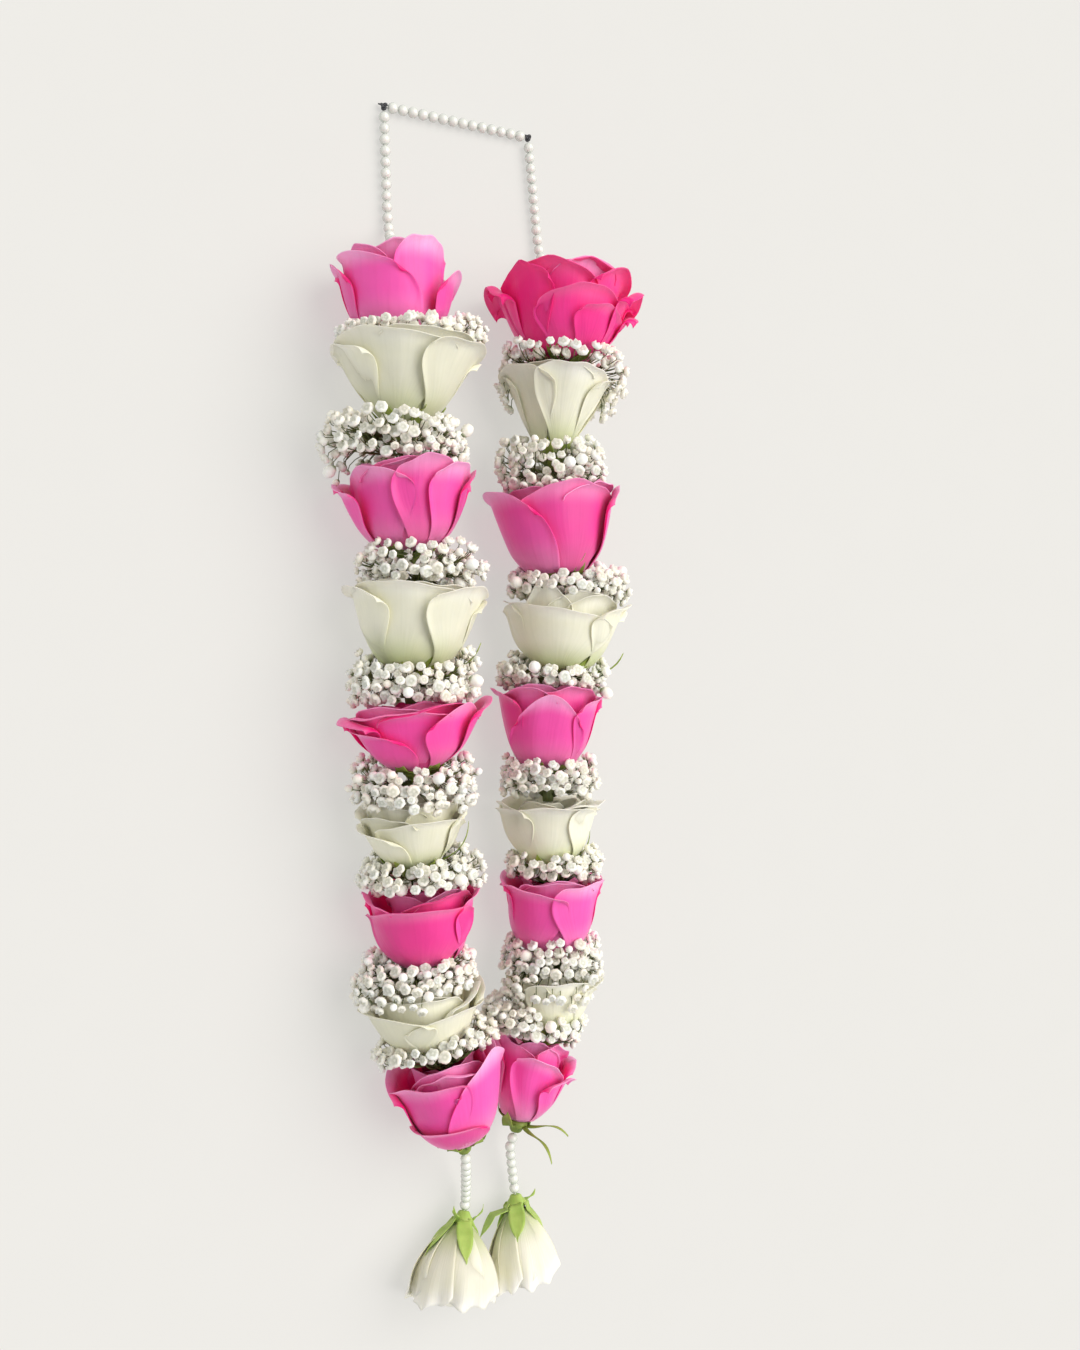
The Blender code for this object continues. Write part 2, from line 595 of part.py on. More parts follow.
# a three-sided stem that opens into a six-pointed floret and closes at its tip
def sprig(path, size):
    path = [vec(p) for p in path]
    toward = unit(path[-1] - path[-2])
    centre = path[-1]
    marks = path[:-1] + [centre - toward * size * 0.75]
    points, faces = tube(marks, [stemRadius * 1.15] * (len(marks) - 1) + [stemRadius], 3)
    faces = [face for face in faces if face != (len(points) - 3, len(points) - 2, len(points) - 1)]
    neck = len(points) - 3
    first = unit(points[neck] - marks[-1])
    second = np.cross(toward, first)
    rim = []
    for k in range(6):
        a = math.pi * k / 3
        out = size * (1.06 if k % 2 else 0.9)
        rim.append(centre + (first * math.cos(a) + second * math.sin(a)) * out
                   + toward * (0.3 if k % 2 else 0.0) * size)
    points = np.concatenate([points, rim, [centre + toward * size * 0.8]])
    start = neck + 3
    for k in range(6):
        a = start + k
        b = start + (k + 1) % 6
        faces.append((a, b, start + 6))
        faces.append((neck + ((k + 1) // 2) % 3, b, a))
        if k % 2:
            continue
        faces.append((neck + k // 2, neck + (k // 2 + 1) % 3, start + k + 1))
    faces = [face if len(set(face)) == 3 else None for face in faces]
    return points, [face for face in faces if face]


# the least distance between two straight lengths, by points along the shorter
def lengthsApart(a, b, c, d):
    marks = np.linspace(0, 1, 14)[:, None]
    first = a + (b - a) * marks
    along = d - c
    share = np.clip(((first - c) @ along) / (along @ along), 0, 1)[:, None]
    return float(np.linalg.norm(first - c - along * share, axis=1).min())


def crowded(path, size, found):
    centre = path[-1]
    for other, otherSize in found:
        if np.linalg.norm(centre - other[-1]) < 0.92 * (size + otherSize) + 0.3:
            return True
        lines = list(zip(other, other[1:]))
        if any(lengthsApart(centre, centre + 0.01, a, b) < size + 0.9 for a, b in lines):
            return True
        mine = list(zip(path, path[1:]))
        for a, b in mine:
            if lengthsApart(a, b, other[-1], other[-1] + 0.01) < otherSize + 0.9:
                return True
            begin = a + unit(b - a) * 2.6 if a is path[0] else a
            for c, d in lines:
                start = c + unit(d - c) * 2.6 if c is other[0] else c
                if lengthsApart(begin, b, start, d) < 1.5:
                    return True
    return False


# florets of a gap: drawn round the thread by the golden angle and kept where stem and floret
# both pass clear of everything built so far, and stand apart from each other. A stem is
# straight in the first draws and bent at a knee in the later ones
def growTuft(source, head, long, span, reach, count, extraTurn, extra, skip):
    found = []
    for k in range(9000):
        if len(found) == count:
            break
        turn = (137.508 * k) % 360
        far = reach + extra * max(0.0, math.cos(math.radians(turn - extraTurn))) ** 3
        out = far * source.uniform(0.55, 1.0)
        along = source.uniform(*span)
        size = floretRadius * source.uniform(0.9, 1.12)
        centre = head.at(turn, out, along)
        if centre[2] < size + 0.3 or blocked(centre, size * 0.95 + 0.5, skip):
            continue
        root = head.at(turn, 2.1, source.uniform(1.2, long - 1.2))
        path = [root, centre]
        if k > 1200:
            knee = head.at(turn, source.uniform(6.0, max(8.0, out - 5.0)),
                           source.uniform(1.0, long + 6.0))
            path = [root, knee, centre]
            if np.dot(unit(knee - root), unit(centre - knee)) < 0.3:
                continue
        if crowded(path, size, found):
            continue
        start = root + unit(path[1] - root) * 2.0
        if blockedLine(start, path[1], stemRadius + 0.5, skip):
            continue
        if len(path) == 3 and blockedLine(path[1], centre, stemRadius + 0.5, skip):
            continue
        found.append((path, size))
    return found


def tuftShapes(found):
    return [sprig(path, size) for path, size in found]


# the ring of bound stems round the thread
def hub(frame, long):
    points = []
    faces = []
    column = [(holeRadius, 0.0), (2.8, 0.0), (3.2, long), (holeRadius, long)]
    for k in range(6):
        points += [frame.at(60 * k, out, along) for out, along in column]
        for j in range(4):
            a = k * 4 + j
            b = k * 4 + (j + 1) % 4
            c = ((k + 1) % 6) * 4 + (j + 1) % 4
            d = ((k + 1) % 6) * 4 + j
            faces += [(a, b, c), (a, c, d)]
    return np.array(points), faces


# ways out of a hub towards another strand, each as root, knee and end, all clear
def waysOut(source, frame, long, turn, skip):
    found = []
    for k in range(20000):
        if len(found) == 60:
            break
        lean = turn + source.uniform(-50, 50)
        root = frame.at(lean, 2.1, source.uniform(1.4, long - 1.4))
        knee = frame.at(lean, source.uniform(5, 16), source.uniform(1.0, long + 8.0))
        end = frame.at(lean, source.uniform(18, 34), source.uniform(-4.0, long + 22.0))
        if np.dot(unit(knee - root), unit(end - knee)) < 0.3:
            continue
        if blockedLine(root + unit(knee - root) * 2.0, knee, 1.4, skip) or blockedLine(knee, end, 1.4, skip):
            continue
        found.append([root, knee, end])
    return found


def gapOf(heads, strand, k):
    upper = heads[f"{strand}_rose_{k}"]
    lower = heads[f"{strand}_rose_{k + 1}"]
    start = lower.foot + lower.axis * lower.budTop
    toward = unit(upper.foot - start)
    long = float(np.linalg.norm(upper.foot - start))
    first = gap + 3.3 * math.sqrt(max(0.0, 1 - np.dot(toward, lower.axis) ** 2))
    last = gap + 3.3 * math.sqrt(max(0.0, 1 - np.dot(toward, upper.axis) ** 2))
    return Head(start + toward * first, upper.foot), long - first - last


def buildTufts(heads):
    for name, (reach, climb, count, extraTurn, extra) in tuftRows.items():
        strand, k = name.split("_")[0], int(name.split("_")[-1])
        frame, long = gapOf(heads, strand, k)
        source = random.Random(name)
        found = growTuft(source, frame, long, (-4.0, long + calyxHeight + climb), reach, count,
                         extraTurn, extra, (strand + "_bead_string",))
        made = meshObject(name, hub(frame, long))
        combine(made, tuftShapes(found), "UNION")
        made.data.materials.append(finish("floret"))
        remember(made)
        print(name, len(found), "florets", sum(len(p) == 3 for p, size in found), "bent", round(long, 1))
    hubs = []
    for strand in ("left", "right"):
        hubs.append(gapOf(heads, strand, 8))
    skip = ("left_bead_string", "right_bead_string")
    source = random.Random("bottom")
    best = None
    lefts = waysOut(source, *hubs[0], 80, skip)
    rights = waysOut(source, *hubs[1], -80, skip)
    for first in lefts:
        for second in rights:
            far = np.linalg.norm(first[2] - second[2])
            if (best is None or far < best[0]) and not blockedLine(first[2], second[2], 1.4, skip):
                best = (far, first, second)
    print(len(lefts), len(rights), "ways out, bridge", None if best is None else round(best[0], 1))
    bridge = best[1] + best[2][::-1]
    found = [(bridge[:3], 1.0), (bridge[:-4:-1], 1.0), ([bridge[2], bridge[3]], 1.0)]
    for (frame, long), reach, turn in zip(hubs, (28.0, 22.0), (60, -80)):
        found += growTuft(source, frame, long, (-5.0, long + 24), reach,
                          bottomTuft["florets"] // 2, turn, 6.0, skip)
    shapes = tuftShapes(found[3:])
    shapes.append(tube(bridge, [0.9] * 6, 4))
    shapes.append(hub(*hubs[1]))
    made = meshObject("bottom_gypsophila", hub(*hubs[0]))
    combine(made, shapes, "UNION")
    made.data.materials.append(finish("floret"))
    remember(made)
    print("bottom", len(found) - 3, "florets")


clearScene()
roseHeads = buildRoses()
pendantHeads = buildPendants()
for roseName, roseHead in roseHeads.items():
    buildCalyx(roseName, roseHead, "calyx", min(18.0, roseRows[roseName][3] * 0.6), 4.9)
for pendantName, pendantHead in pendantHeads.items():
    buildCalyx(pendantName, pendantHead, "lime", 14.0, 4.6)
buildStrings(roseHeads, pendantHeads)
buildTufts(roseHeads)
things = list(bpy.context.scene.collection.objects)
lows = np.min([pointsOf(thing).min(0) for thing in things], axis=0)
highs = np.max([pointsOf(thing).max(0) for thing in things], axis=0)
move = -(lows + highs) / 2 * MM
for thing in things:
    flat = np.empty(len(thing.data.vertices) * 3, np.float32)
    thing.data.vertices.foreach_get("co", flat)
    flat = flat.reshape(-1, 3) + np.array([move[0], move[1], 0.0], np.float32)
    thing.data.vertices.foreach_set("co", flat.ravel())
    thing.data.update()
print("moved by", np.round(move / MM, 3), "mm to stand about the origin")
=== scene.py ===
import json
import math

import bpy
import numpy as np
from mathutils import Matrix, Vector
from mathutils.bvhtree import BVHTree

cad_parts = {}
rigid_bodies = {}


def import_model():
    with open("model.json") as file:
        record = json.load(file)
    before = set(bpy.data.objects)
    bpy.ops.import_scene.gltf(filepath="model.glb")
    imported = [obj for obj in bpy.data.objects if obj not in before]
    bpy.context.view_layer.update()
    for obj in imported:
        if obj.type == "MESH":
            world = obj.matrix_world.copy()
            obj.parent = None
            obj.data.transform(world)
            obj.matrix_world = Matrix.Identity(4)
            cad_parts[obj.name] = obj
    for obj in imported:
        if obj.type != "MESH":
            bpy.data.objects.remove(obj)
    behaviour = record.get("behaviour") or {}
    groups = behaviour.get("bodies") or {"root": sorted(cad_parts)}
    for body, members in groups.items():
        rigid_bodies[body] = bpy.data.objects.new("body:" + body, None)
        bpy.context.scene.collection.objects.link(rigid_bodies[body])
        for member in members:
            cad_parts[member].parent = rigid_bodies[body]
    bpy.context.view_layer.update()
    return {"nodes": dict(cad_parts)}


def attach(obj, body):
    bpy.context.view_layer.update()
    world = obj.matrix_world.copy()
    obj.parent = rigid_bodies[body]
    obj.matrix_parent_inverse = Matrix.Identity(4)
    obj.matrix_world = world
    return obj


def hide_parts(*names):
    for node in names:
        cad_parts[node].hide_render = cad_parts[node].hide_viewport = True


# Rose garland: eighteen roses on two threads, gypsophila between them, a pearl handle and two
# hanging white flowers. Lengths below are in millimetres and angles in degrees.
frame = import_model()
mm = 0.001
goldenTurn = 137.508
tiny = 1e-9
floorGap = 0.15


# sRGB hex to the linear values that shaders use
def tint(text):
    parts = [int(text[k:k + 2], 16) / 255 for k in (1, 3, 5)]
    return tuple(p / 12.92 if p <= 0.04045 else ((p + 0.055) / 1.055) ** 2.4 for p in parts) + (1.0,)


# a vector, or each of many, divided by its length
def unit(values):
    values = np.asarray(values, dtype=float)
    return values / np.maximum(np.linalg.norm(values, axis=-1, keepdims=True), tiny)


# 0 below low, 1 above high and a smooth S between
def ease(x, low, high):
    t = np.clip((x - low) / (high - low), 0, 1)
    return t * t * (3 - 2 * t)


# links a node's inputs where a socket is given and sets them where a value is
def feed(node, inputs):
    for key, value in inputs.items():
        if isinstance(value, bpy.types.NodeSocket):
            node.id_data.links.new(value, node.inputs[key])
        else:
            node.inputs[key].default_value = value


# adds one node, sets its properties, and feeds its inputs
def addNode(tree, kind, settings, inputs):
    node = tree.nodes.new(kind)
    for key, value in settings.items():
        setattr(node, key, value)
    feed(node, inputs)
    return node


# a material with its node tree and the one shader in it
def newMaterial(name):
    material = bpy.data.materials.new(name)
    material.use_nodes = True
    tree = material.node_tree
    return material, tree, next(n for n in tree.nodes if n.type == "BSDF_PRINCIPLED")


mixColours = {"data_type": "RGBA"}


# a mesh object from points in mm and arrays of triangles or quads; marks are values per point,
# read by the materials, and chosen gives each face array its material slot
def meshPiece(name, points, faces, materials, uv=None, marks=None, chosen=None):
    mesh = bpy.data.meshes.new(name)
    corners = np.concatenate([f.ravel() for f in faces]).astype(np.int32)
    sizes = np.concatenate([np.full(len(f), f.shape[1]) for f in faces])
    starts = np.concatenate([[0], np.cumsum(sizes)[:-1]]).astype(np.int32)
    mesh.vertices.add(len(points))
    mesh.vertices.foreach_set("co", (np.asarray(points) * mm).astype(np.float32).ravel())
    mesh.loops.add(len(corners))
    mesh.loops.foreach_set("vertex_index", corners)
    mesh.polygons.add(len(sizes))
    mesh.polygons.foreach_set("loop_start", starts)
    mesh.update(calc_edges=True)
    mesh.polygons.foreach_set("use_smooth", np.ones(len(sizes), dtype=bool))
    for material in materials:
        mesh.materials.append(material)
    if chosen is not None:
        slots = np.concatenate([np.full(len(f), c) for f, c in zip(faces, chosen)])
        mesh.polygons.foreach_set("material_index", slots.astype(np.int32))
    if uv is not None:
        layer = mesh.uv_layers.new(name="petalMap")
        layer.data.foreach_set("uv", uv[corners].astype(np.float32).ravel())
    for key, values in (marks or {}).items():
        layer = mesh.attributes.new(key, "FLOAT_VECTOR", "POINT")
        layer.data.foreach_set("vector", values.astype(np.float32).ravel())
    mesh.validate()
    thing = bpy.data.objects.new(name, mesh)
    bpy.context.scene.collection.objects.link(thing)
    return thing


# joins meshes given as (points, list of face arrays) by shifting their indices, with one array
# for the faces of each count of corners
def joined(parts):
    points = np.concatenate([p for p, faces in parts])
    found = {}
    shift = 0
    for p, faces in parts:
        for f in faces:
            found.setdefault(f.shape[1], []).append(f + shift)
        shift += len(p)
    return points, [np.concatenate(group) for group in found.values()]


# joins two such meshes and gives the faces of the first slot 0 and of the second slot 1
def layered(first, second):
    faces = list(first[1]) + [f + len(first[0]) for f in second[1]]
    chosen = [0] * len(first[1]) + [1] * len(second[1])
    return np.concatenate([first[0], second[0]]), faces, chosen


# a tree for distances and rays, from points and one array of quads for each mesh
def searchTree(points, quads):
    points, faces = joined([(p, [q]) for p, q in zip(points, quads)])
    return BVHTree.FromPolygons(points.tolist(), faces[0].tolist())


# a flower head's own frame: its foot on the thread, its axis, and a turn measured from
# straight up towards +X. at() takes arrays
class Head:
    def __init__(self, foot, axis):
        self.foot = np.array(foot, dtype=float)
        self.axis = unit(axis)
        self.up = unit(np.array((0.0, 0.0, 1.0)) - self.axis * self.axis[2])
        self.side = np.cross(self.axis, self.up)

    def at(self, turn, out, along):
        turn, out, along = np.broadcast_arrays(turn, out, along)
        a = np.radians(turn)[..., None]
        across = np.cos(a) * self.up + np.sin(a) * self.side
        return self.foot + along[..., None] * self.axis + out[..., None] * across


# quads of a thin closed plate whose outer and inner faces share one grid of rows x cols
def plateQuads(rows, cols):
    index = np.arange(rows * cols).reshape(rows, cols)
    a, b, c, d = index[:-1, :-1], index[:-1, 1:], index[1:, 1:], index[1:, :-1]
    outer = np.stack([a, b, c, d], -1).reshape(-1, 4)
    under = rows * cols
    inner = outer[:, ::-1] + under
    rim = np.concatenate([index[0, :], index[1:, -1], index[-1, -2::-1], index[-2:0:-1, 0]])
    after = np.roll(rim, -1)
    edge = np.stack([after, rim, rim + under, after + under], -1)
    return np.concatenate([outer, inner, edge])


# unit normals of a grid of points, by the cross product of its two directions
def gridNormals(grid):
    return unit(np.cross(np.gradient(grid, axis=1), np.gradient(grid, axis=0)))


# a plate from a grid of points: both faces stand half the thickness off the grid along its
# normals, and no lower than a little above the floor. Its map runs from w, -1 to 1, and v
def plate(grid, thick, w, v):
    offset = gridNormals(grid) * (np.asarray(thick) / 2)[..., None]
    points = np.concatenate([(grid + offset).reshape(-1, 3), (grid - offset).reshape(-1, 3)])
    points[:, 2] = np.maximum(points[:, 2], floorGap)
    flat = np.stack(np.broadcast_arrays(w / 2 + 0.5, v), -1).reshape(-1, 2)
    return points, [plateQuads(*grid.shape[:2])], np.concatenate([flat, flat])


# joins plates, with their maps
def joinedPlates(plates):
    points, faces = joined([(p, f) for p, f, flat in plates])
    return points, faces, np.concatenate([flat for p, f, flat in plates])


# what the petal material reads of a plate: its face (0 outer, 1 inner), how far in the petal
# stands, and a chance value of its own
def petalMarks(count, whorl, chance):
    return np.array([(face, whorl, chance) for face in (0.0, 1.0)]).repeat(count, axis=0)


# the focal length and the frame's long side are in the photo's pixels
cameraSetup = {"target": (33.0, 19.5, 30.0), "distance": 621.0, "lean": 27.0, "focal": 1243.0,
               "longSide": 1350.0, "sensor": 36.0, "near": 0.01, "far": 50.0}
lightSetup = {"key": 2.95, "keyPlace": (0.8, 0.4, 1.5), "keySpread": 60.0, "keyTint": "#FFFBF6",
              "fill": 2.8, "fillPlace": (-1.7, -0.2, 1.5), "fillSize": 1.8, "fillTint": "#EAF2FF",
              "sky": 0.42, "skyTint": "#FBFCFF", "glow": 0.51}
floorSetup = {"level": 4500.0, "inset": (300.0, 100.0), "sweep": 1500.0, "wall": 3200.0,
              "sides": 72, "steps": 13}


# camera at the photo's angle, floor, two lamps that look at the origin, and an even sky
def buildStage():
    lean = math.radians(cameraSetup["lean"])
    right = Vector((math.cos(lean), 0, math.sin(lean)))
    back = Vector((-math.sin(lean), 0, math.cos(lean)))
    target = Vector(cameraSetup["target"])
    data = bpy.data.cameras.new("camera")
    data.sensor_width = cameraSetup["sensor"]
    data.lens = cameraSetup["sensor"] * cameraSetup["focal"] / cameraSetup["longSide"]
    data.clip_start, data.clip_end = cameraSetup["near"], cameraSetup["far"]
    camera = bpy.data.objects.new("camera", data)
    turn = Matrix((right, Vector((0, 1, 0)), back)).transposed().to_4x4()
    camera.matrix_world = Matrix.Translation((target + back * cameraSetup["distance"]) * mm) @ turn
    bpy.context.scene.collection.objects.link(camera)
    bpy.context.scene.camera = camera

    # opal acrylic sheet lit from below, as on a light table: even, pale and with faint shadows. It
    # lies level for 4.5 m around and then sweeps up along a quarter circle
    material, tree, shader = newMaterial("opal_acrylic_sheet")
    place = addNode(tree, "ShaderNodeTexCoord", {}, {})
    grain = addNode(tree, "ShaderNodeTexNoise", {},
                    {"Vector": place.outputs["Object"], "Scale": 30.0})
    shade = addNode(tree, "ShaderNodeMix", mixColours,
                    {0: grain.outputs["Fac"], 6: tint("#8C8B88"), 7: tint("#8E8D8A")})
    feed(shader, {"Base Color": shade.outputs[2], "Roughness": 0.9, "Specular IOR Level": 0.1,
                  "Emission Color": tint("#FFFEFA"), "Emission Strength": lightSetup["glow"]})
    level, radius, sides = floorSetup["level"], floorSetup["sweep"], floorSetup["sides"]
    turns = np.arange(sides) * 2 * math.pi / sides
    sweep = np.linspace(0, math.pi / 2, floorSetup["steps"])
    outs = np.concatenate([level - np.array(floorSetup["inset"]), level + radius * np.sin(sweep),
                           [level + radius]])[:, None]
    lifts = np.concatenate([[0, 0], radius * (1 - np.cos(sweep)), [floorSetup["wall"]]])[:, None]
    ground = np.stack([outs * np.cos(turns), outs * np.sin(turns), lifts + 0 * turns], -1)
    ground = ground.reshape(-1, 3)
    index = np.arange(len(ground)).reshape(-1, len(turns))
    after = np.roll(index, -1, axis=1)
    sheet = np.stack([index[:-1], index[1:], after[1:], after[:-1]], -1).reshape(-1, 4)
    middle = np.stack([np.full(len(turns), len(ground)), index[0], after[0]], -1)
    floor = meshPiece("floor", np.concatenate([ground, [(0, 0, 0)]]), [sheet, middle], [material])

    def lamp(name, kind, place, power, colour, settings):
        light = bpy.data.lights.new(name, kind)
        light.energy = power
        light.color = tint(colour)[:3]
        for key, value in settings.items():
            setattr(light, key, value)
        thing = bpy.data.objects.new(name, light)
        thing.location = place
        thing.rotation_euler = (-Vector(place)).to_track_quat("-Z", "Y").to_euler()
        bpy.context.scene.collection.objects.link(thing)

    lamp("key", "SUN", lightSetup["keyPlace"], lightSetup["key"], lightSetup["keyTint"],
         {"angle": math.radians(lightSetup["keySpread"])})
    lamp("fill", "AREA", lightSetup["fillPlace"], lightSetup["fill"], lightSetup["fillTint"],
         {"shape": "SQUARE", "size": lightSetup["fillSize"]})
    world = bpy.data.worlds.new("studio")
    world.use_nodes = True
    feed(world.node_tree.nodes["Background"],
         {"Color": tint(lightSetup["skyTint"]), "Strength": lightSetup["sky"]})
    bpy.context.scene.world = world
    bpy.context.scene.view_settings.view_transform = "Standard"


buildStage()
print("stage: camera, floor and lights")


# low on the inner face the petals take painted shade of the bowl; on the white it is a cream-green foot tone too
petalFinish = {
    "pink": {"outer": "#F656AE", "rim": "#FFB4E2", "base": "#EE86B8", "inner": "#FB1682",
             "innerFootToneAndShade": "#B40A52", "vein": "#E0488F", "depth": (1.0, 0.45, 0.5), "sheen": 0.75},
    "white": {"outer": "#F1EFD6", "rim": "#F9F7EC", "base": "#BECB8C", "inner": "#EFEDD2",
              "innerFootToneAndShade": "#D4D4A2", "vein": "#D6D8BC", "depth": (1.0, 0.9, 0.6), "sheen": 0.4},
}


# rose petal: living cells, velvety on the inner face and waxy on the outer, with veins that fan
# from the base about 0.9 mm apart. Paler outside and at the rim, deeper inside; low on the inner
# face the colour darkens as painted shade in the bowl, with a cream-green foot tone on the white
def petalMaterial(kind):
    look = petalFinish[kind]
    material, tree, shader = newMaterial("rose_petal_" + kind)
    mapped = addNode(tree, "ShaderNodeUVMap", {"uv_map": "petalMap"}, {})
    marks = addNode(tree, "ShaderNodeAttribute", {"attribute_name": "petalMark"}, {})
    parts = addNode(tree, "ShaderNodeSeparateXYZ", {}, {0: marks.outputs["Vector"]})
    spot = addNode(tree, "ShaderNodeSeparateXYZ", {}, {0: mapped.outputs["UV"]})
    place = addNode(tree, "ShaderNodeTexCoord", {}, {})
    cloud = addNode(tree, "ShaderNodeTexNoise", {},
                    {"Vector": place.outputs["Object"], "Scale": 70.0, "Detail": 3.0})
    stretched = addNode(tree, "ShaderNodeMapping", {},
                        {"Vector": mapped.outputs["UV"], "Scale": (34.0, 1.6, 1.0)})
    vein = addNode(tree, "ShaderNodeTexNoise", {},
                   {"Vector": stretched.outputs[0], "Scale": 1.0, "Detail": 2.0, "Roughness": 0.4})
    low = addNode(tree, "ShaderNodeMapRange", {"interpolation_type": "SMOOTHSTEP"},
                  {0: spot.outputs["Y"], 1: 0.0, 2: 0.52, 3: 1.0, 4: 0.0})
    high = addNode(tree, "ShaderNodeMapRange", {"interpolation_type": "SMOOTHSTEP"},
                   {0: spot.outputs["Y"], 1: 0.72, 2: 1.0, 3: 0.0, 4: 1.0})
    border = addNode(tree, "ShaderNodeMath", {"operation": "MULTIPLY_ADD"},
                     {0: parts.outputs["Y"], 1: -0.9, 2: 0.75})
    border = addNode(tree, "ShaderNodeMath", {"operation": "MULTIPLY", "use_clamp": True},
                     {0: high.outputs[0], 1: border.outputs[0]})
    sides = []
    # low on the inner face the colour darkens: painted shade in the bowl
    for top, foot, edge in (("outer", "base", high), ("inner", "innerFootToneAndShade", border)):
        side = addNode(tree, "ShaderNodeMix", mixColours,
                       {0: low.outputs[0], 6: tint(look[top]), 7: tint(look[foot])})
        sides.append(addNode(tree, "ShaderNodeMix", mixColours,
                             {0: edge.outputs[0], 6: side.outputs[2], 7: tint(look["rim"])}))
    faced = addNode(tree, "ShaderNodeMix", mixColours,
                    {0: parts.outputs["X"], 6: sides[0].outputs[2], 7: sides[1].outputs[2]})
    whorl = addNode(tree, "ShaderNodeMath", {"operation": "MULTIPLY"},
                    {0: parts.outputs["Y"], 1: 0.92})
    faced = addNode(tree, "ShaderNodeMix", mixColours,
                    {0: whorl.outputs[0], 6: faced.outputs[2], 7: tint(look["inner"])})
    streak = addNode(tree, "ShaderNodeMapRange", {},
                     {0: vein.outputs["Fac"], 1: 0.5, 2: 0.75, 3: 0.0, 4: 0.16})
    faced = addNode(tree, "ShaderNodeMix", mixColours,
                    {0: streak.outputs[0], 6: faced.outputs[2], 7: tint(look["vein"])})
    change = addNode(tree, "ShaderNodeMath", {"operation": "MULTIPLY_ADD"},
                     {0: cloud.outputs["Fac"], 1: 0.16, 2: 0.9})
    change = addNode(tree, "ShaderNodeMath", {"operation": "MULTIPLY_ADD"},
                     {0: parts.outputs["Z"], 1: 0.1, 2: change.outputs[0]})
    colour = addNode(tree, "ShaderNodeHueSaturation", {},
                     {"Color": faced.outputs[2], "Value": change.outputs[0]})
    bump = addNode(tree, "ShaderNodeBump", {},
                   {"Strength": 0.35, "Distance": 0.0004, "Height": vein.outputs["Fac"]})
    feed(shader, {"Base Color": colour.outputs[0], "Normal": bump.outputs[0], "Roughness": 0.46,
                  "IOR": 1.42, "Subsurface Weight": 0.25, "Subsurface Radius": look["depth"],
                  "Subsurface Scale": 0.0025, "Sheen Weight": look["sheen"],
                  "Sheen Tint": tint(look["rim"]), "Sheen Roughness": 0.3})
    return material


# sepals and calyx cups: young green leaf, matt with a faint waxy bloom, paler towards the tip and mottled
def leafMaterial(name, dark, light):
    material, tree, shader = newMaterial(name)
    mapped = addNode(tree, "ShaderNodeUVMap", {"uv_map": "petalMap"}, {})
    spot = addNode(tree, "ShaderNodeSeparateXYZ", {}, {0: mapped.outputs["UV"]})
    place = addNode(tree, "ShaderNodeTexCoord", {}, {})
    cloud = addNode(tree, "ShaderNodeTexNoise", {},
                    {"Vector": place.outputs["Object"], "Scale": 160.0, "Detail": 4.0})
    along = addNode(tree, "ShaderNodeMath", {"operation": "MULTIPLY_ADD"},
                    {0: cloud.outputs["Fac"], 1: 0.9, 2: -0.15})
    along = addNode(tree, "ShaderNodeMath", {"operation": "MULTIPLY_ADD", "use_clamp": True},
                    {0: spot.outputs["Y"], 1: 0.35, 2: along.outputs[0]})
    colour = addNode(tree, "ShaderNodeMix", mixColours,
                     {0: along.outputs[0], 6: tint(dark), 7: tint(light)})
    bump = addNode(tree, "ShaderNodeBump", {},
                   {"Strength": 0.3, "Distance": 0.0003, "Height": cloud.outputs["Fac"]})
    feed(shader, {"Base Color": colour.outputs[2], "Normal": bump.outputs[0], "Roughness": 0.55,
                  "Subsurface Weight": 0.15, "Subsurface Radius": (0.5, 1.0, 0.2),
                  "Subsurface Scale": 0.0015})
    return material


petals = {colour: petalMaterial(colour) for colour in petalFinish}
greenLeaf = leafMaterial("rose_sepal_green", "#4F6B22", "#A9B552")
limeLeaf = leafMaterial("young_sepal_lime", "#86A83C", "#C9DE7E")


